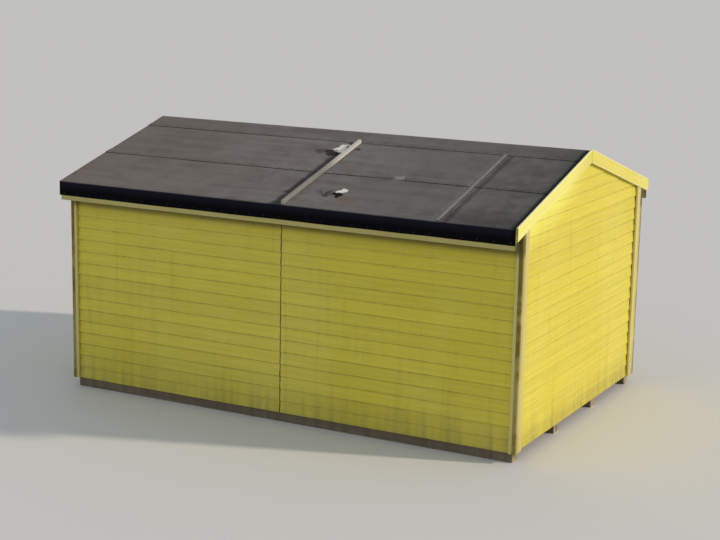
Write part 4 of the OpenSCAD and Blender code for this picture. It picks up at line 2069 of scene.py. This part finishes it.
@dataclass
class Ironwork:
    """Strap hinges and the hasp.

    The shares of a hinge say where its screws are along the strap and up the plate, and how much of a
    knuckle's room each of its barrels takes.
    """

    hut: HutFrame
    iron_t: float = 0.004
    bevel: float = 0.001
    knuckle_r: float = 0.008
    barrels: int = 5
    barrel_sides: int = 16
    barrel_share: float = 0.97
    inner_share: float = 0.92
    strap_l: float = 0.32
    strap_w: float = 0.04
    tail_steps: int = 8
    strap_screws: tuple[float, ...] = (0.12, 0.5, 0.88)
    plate_screws: Pair = (-0.6, 0.6)
    plate_screw_out: float = 0.008
    staple_rings: int = 14
    staple_sides: int = 8
    hasp_steps: int = 6
    hasp_screws: Pair = (0.018, 0.045)
    screw: Nail = Nail(radius=0.0055, height=0.0018, sides=8)

    def dress(self, palette: Palette) -> None:
        """Draw the six hinges and the hasp."""
        self._hinges(palette)
        self._hasp(palette)

    def _hinges(self, palette: Palette) -> None:
        """Draw the hinges of both leaves.

        Args:
            palette: Finishes of the hut.
        """
        draft = Draft("strap_hinges", end=End.FRONT)
        low, high = quadrant_box("door_hinges", Side.RIGHT, End.FRONT)
        knuckle_x = (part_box("door_sill")[1].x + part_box("right_door")[1].x) / 2
        for side in Side:
            draft.side = side
            for z in (low.z + self.strap_w, (low.z + high.z) / 2, high.z - self.strap_w):
                self._hinge(draft, knuckle_x, high.x, z)
        draft.build(palette.iron, ["door_hinges"])

    def _hinge(self, draft: Draft, knuckle_x: float, plate_x: float, z: float) -> None:
        """Draw a tapered strap with a round tail, its plate and its knuckle.

        Args:
            draft: Piece to draw into.
            knuckle_x: Place of the knuckle's axis across the hut.
            plate_x: Place of the plate's outer edge.
            z: Height of the strap's middle.
        """
        face, half = self.hut.half_l, self.strap_w
        tail_r = half / 4
        tail = arc(knuckle_x - self.strap_l + tail_r, z, tail_r, math.pi / 2, self.tail_steps)
        self._plate(draft, [(knuckle_x, z + half / 2), *tail, (knuckle_x, z - half / 2)], face)
        self._plate(draft, [(knuckle_x, z - half), (plate_x, z - half), (plate_x, z + half),
                            (knuckle_x, z + half)], face)
        barrel_h = 2 * half / self.barrels
        for i in range(self.barrels):
            radius = self.knuckle_r * (self.inner_share if i % 2 else 1.0)
            foot = Vector((knuckle_x, face + self.knuckle_r, z - half + i * barrel_h))
            self._barrel(draft, foot, radius, barrel_h * self.barrel_share)
        for share in self.strap_screws:
            self.screw.draw(draft, Vector((knuckle_x - self.strap_l * share, face + self.iron_t, z)), ALONG)
        middle_x = (knuckle_x + plate_x) / 2 + self.plate_screw_out
        for up in self.plate_screws:
            self.screw.draw(draft, Vector((middle_x, face + self.iron_t, z + half * up)), ALONG)

    def _plate(self, draft: Draft, outline: Sequence[Pair], face: float) -> None:
        """Draw a flat plate on the doors' face with a bevelled rim.

        Args:
            draft: Piece to draw into.
            outline: The plate's points, as x and z.
            face: Place of the doors' face along the hut.
        """
        middle_x = sum(x for x, _ in outline) / len(outline)
        middle_z = sum(z for _, z in outline) / len(outline)
        rings = []
        for out, shrink, wear in ((0.0, 0.0, 0.0), (self.iron_t - self.bevel, 0.0, 1.0),
                                  (self.iron_t, self.bevel, 1.0)):
            ring = []
            for x, z in outline:
                way = Vector((x - middle_x, 0, z - middle_z)).normalized() * shrink
                ring.append(Knot(Vector((x, face + out, z)) - way, x, z, wear))
            rings.append(ring)
        draft.loft(rings, 0.0)

    def _barrel(self, draft: Draft, foot: Vector, radius: float, height: float) -> None:
        """Draw a short upright barrel with its rims taken off.

        Args:
            draft: Piece to draw into.
            foot: Middle of its lower end.
            radius: Its radius.
            height: Its height.
        """
        rings = []
        for shrink, up, wear in ((0.9, 0.0, 1.0), (1.0, 0.06, 0.3), (1.0, 0.94, 0.3), (0.9, 1.0, 1.0)):
            ring = []
            for turn in turns(self.barrel_sides):
                arm = (ACROSS * math.cos(turn) + ALONG * math.sin(turn)) * radius * shrink
                ring.append(Knot(foot + arm + UP * height * up, turn, up, wear))
            rings.append(ring)
        draft.loft(rings, 0.0)

    def _hasp(self, palette: Palette) -> None:
        """Draw the hasp plate and the staple that stands through it.

        Args:
            palette: Finishes of the hut.
        """
        low, high = quadrant_box("door_hasp", Side.RIGHT, End.FRONT)
        draft = Draft("hasp_and_staple", end=End.FRONT)
        mid_z = (low.z + high.z) / 2
        half = (high.z - low.z) / 2
        outline = [*arc(high.x - half, mid_z, half, -math.pi / 2, self.hasp_steps),
                   *arc(low.x + half, mid_z, half, math.pi / 2, self.hasp_steps)]
        self._plate(draft, outline, self.hut.half_l)
        ring_r = (high.z - low.z) / 3
        rod_r = self.iron_t / 2
        foot = Vector(((high.x - low.x) / 4, self.hut.half_l + self.iron_t, mid_z))
        rings = []
        for turn in even(0.0, math.pi, self.staple_rings):
            spine = Vector((0, math.sin(turn), math.cos(turn)))
            ring = []
            for roll in turns(self.staple_sides):
                arm = spine * math.cos(roll) + ACROSS * math.sin(roll)
                ring.append(Knot(foot + spine * ring_r + arm * rod_r, turn, roll, 0.5))
            rings.append(ring)
        draft.loft(rings, 0.0)
        for inset in self.hasp_screws:
            self.screw.draw(draft, Vector((low.x + inset, high.y - ring_r - rod_r, mid_z)), ALONG)
        draft.build(palette.iron, ["door_hasp"])


def arc(x: float, z: float, radius: float, begin: float, steps: int) -> list[Pair]:
    """Give the points of a half circle round x and z, from the angle at which it begins, cut in steps."""
    return [(x + radius * math.cos(turn), z + radius * math.sin(turn))
            for turn in even(begin, begin + math.pi, steps)]


# Base


@dataclass
class Base:
    """Bearers, joists and floor boards."""

    hut: HutFrame
    bearer_w: float = 0.10
    bearer_count: int = 4
    bearer_arris: float = 0.004
    bearer_margin: float = 0.006
    joist_w: float = 0.05
    joist_pitch: float = 0.45
    board_w: float = 0.12
    board_joint: float = 0.001
    plank: Plank = Plank(step=0.6, sway=0.0)

    def dress(self, palette: Palette) -> None:
        """Draw the timbers of the floor.

        Args:
            palette: Finishes of the hut.
        """
        low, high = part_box("bearers")
        bearers = Draft("bearer_timbers")
        section = squared_section(self.bearer_w, high.z - low.z, self.bearer_arris, self.bearer_margin)
        for x in even(low.x, high.x - self.bearer_w, self.bearer_count - 1):
            self._run(bearers, section, x, low, high)
        bearers.build(palette.timber, ["bearers"])
        self._joists(palette)
        low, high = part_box("floor_boards")
        boards = Draft("floor_board_deck")
        count = round((high.x - low.x) / self.board_w)
        width = (high.x - low.x) / count
        section = squared_section(width - self.board_joint, high.z - low.z)
        for i in range(count):
            self._run(boards, section, low.x + i * width, low, high)
        boards.build(palette.deck, ["floor_boards"])

    def _joists(self, palette: Palette) -> None:
        """Draw the joists across the bearers.

        Args:
            palette: Finishes of the hut.
        """
        low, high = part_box("floor_joists")
        joists = Draft("floor_joist_timbers")
        section = squared_section(self.joist_w, high.z - low.z)
        for y in spread(low.y, high.y - self.joist_w, self.joist_pitch):
            self.plank.lay(joists, section, Vector((low.x, y, low.z)), Vector((high.x, y, low.z)), ALONG, UP)
        joists.build(palette.timber, ["floor_joists"])

    def _run(self, draft: Draft, section: Section, x: float, low: Vector, high: Vector) -> None:
        """Draw a timber along the hut, from x on, between the ends of its node's box."""
        self.plank.lay(draft, section, Vector((x, low.y, low.z)), Vector((x, high.y, low.z)), ACROSS, UP)


@dataclass
class HiddenFrames:
    """Frames inside the walls and the roof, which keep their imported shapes."""

    nodes: tuple[str, ...] = (
        "right_wall_frame", "left_wall_frame", "back_wall_frame", "front_wall_frame",
        "ridge_beam", "purlins", "roof_truss",
    )

    def dress(self, palette: Palette) -> None:
        """Give the frames their timber.

        Args:
            palette: Finishes of the hut.
        """
        for name in self.nodes:
            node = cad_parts[name]
            node.data.materials.clear()
            node.data.materials.append(palette.framing)
            LOG.info("%s: finish only", name)


# Stage


@dataclass(frozen=True)
class Stage:
    """Plain pale floor, soft light and the camera at the photograph's viewpoint."""

    floor_size: float = 400.0
    floor_colour: Colour = (0.74, 0.74, 0.73)
    floor_darkest: float = 0.97
    floor_roughness: float = 0.9
    floor_gloss: float = 0.1
    sky_colour: Colour = (0.93, 1.0, 1.08)
    sky_strength: float = 0.475
    sun_from: tuple[float, float, float] = (-0.30, 0.85, 0.42)
    sun_colour: Colour = (1.0, 0.86, 0.71)
    sun_strength: float = 2.2
    sun_width: float = 3.0
    eye: tuple[float, float, float] = (13.49, 7.13, 4.29)
    look_at: tuple[float, float, float] = (0.0, 0.0, 1.16)
    roll: float = 1.15
    lens: float = 79.0
    sensor: float = 36.0
    far: float = 1000.0

    def set_up(self) -> None:
        """Make the floor, the light and the camera."""
        bpy.context.scene.view_settings.view_transform = "Standard"
        self._floor()
        self._light()
        self._camera()

    def _floor(self) -> None:
        """Make the floor."""
        half = self.floor_size / 2
        corners = [(-half, -half, 0), (half, -half, 0), (half, half, 0), (-half, half, 0)]
        mesh = bpy.data.meshes.new("floor")
        mesh.from_pydata(corners, [], [(0, 1, 2, 3)])
        material, bench = new_material("pale_floor")
        cloud = bench.cloud(bench.place(), 0.6, 3.0)
        darker = shaded(self.floor_colour, self.floor_darkest)
        close_material(bench, {
            "Base Color": bench.blend(cloud, darker, self.floor_colour),
            "Roughness": self.floor_roughness,
            "Specular IOR Level": self.floor_gloss,
        })
        mesh.materials.append(material)
        floor = bpy.data.objects.new("floor", mesh)
        bpy.context.scene.collection.objects.link(floor)

    def _light(self) -> None:
        """Make the sky fill and the soft key light."""
        world = bpy.data.worlds.new("studio")
        world.use_nodes = True
        bench = Bench(world.node_tree)
        sky = bench.add("ShaderNodeBackground", {"Color": self.sky_colour, "Strength": self.sky_strength})
        bench.add("ShaderNodeOutputWorld", {"Surface": sky.outputs["Background"]})
        bpy.context.scene.world = world
        data = bpy.data.lights.new("key", "SUN")
        data.energy = self.sun_strength
        data.color = self.sun_colour
        data.angle = math.radians(self.sun_width)
        key = bpy.data.objects.new("key", data)
        key.rotation_euler = (-Vector(self.sun_from)).to_track_quat("-Z", "Y").to_euler()
        bpy.context.scene.collection.objects.link(key)

    def _camera(self) -> None:
        """Make the camera."""
        data = bpy.data.cameras.new("camera")
        data.lens = self.lens
        data.sensor_width = self.sensor
        data.clip_end = self.far
        camera = bpy.data.objects.new("camera", data)
        camera.location = self.eye
        way = Vector(self.look_at) - Vector(self.eye)
        aimed = way.to_track_quat("-Z", "Y").to_matrix()
        camera.rotation_euler = (aimed @ Matrix.Rotation(math.radians(self.roll), 3, "Z")).to_euler()
        bpy.context.scene.collection.objects.link(camera)
        bpy.context.scene.camera = camera


def main() -> None:
    """Build the hut's sub-assemblies in order."""
    logging.basicConfig(level=logging.INFO, format="%(name)s: %(message)s")
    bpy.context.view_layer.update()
    Stage().set_up()
    hut = HutFrame.read()
    palette = Palette.mix(hut)
    Base(hut).dress(palette)
    HiddenFrames().dress(palette)
    Walls(hut).dress(palette)
    for side in Side:
        for end in End:
            CornerBoards(hut, side, end).dress(palette)
            BargeBoard(hut, side, end).dress(palette)
            RoofBoards(hut, side, end).dress(palette)
        Fascia(hut, side).dress(palette)
        RoofFelt(hut, side).dress(palette)
        RoofBattens(hut, side).dress(palette)
        DoorLeaf(hut, side).dress(palette)
    ridge = RidgeFelt(hut)
    ridge.dress(palette)
    Clouts(hut, RoofFelt(hut, Side.RIGHT), ridge).dress(palette)
    DoorFrame(hut).dress(palette)
    Ironwork(hut).dress(palette)


if __name__ == "__main__":
    main()
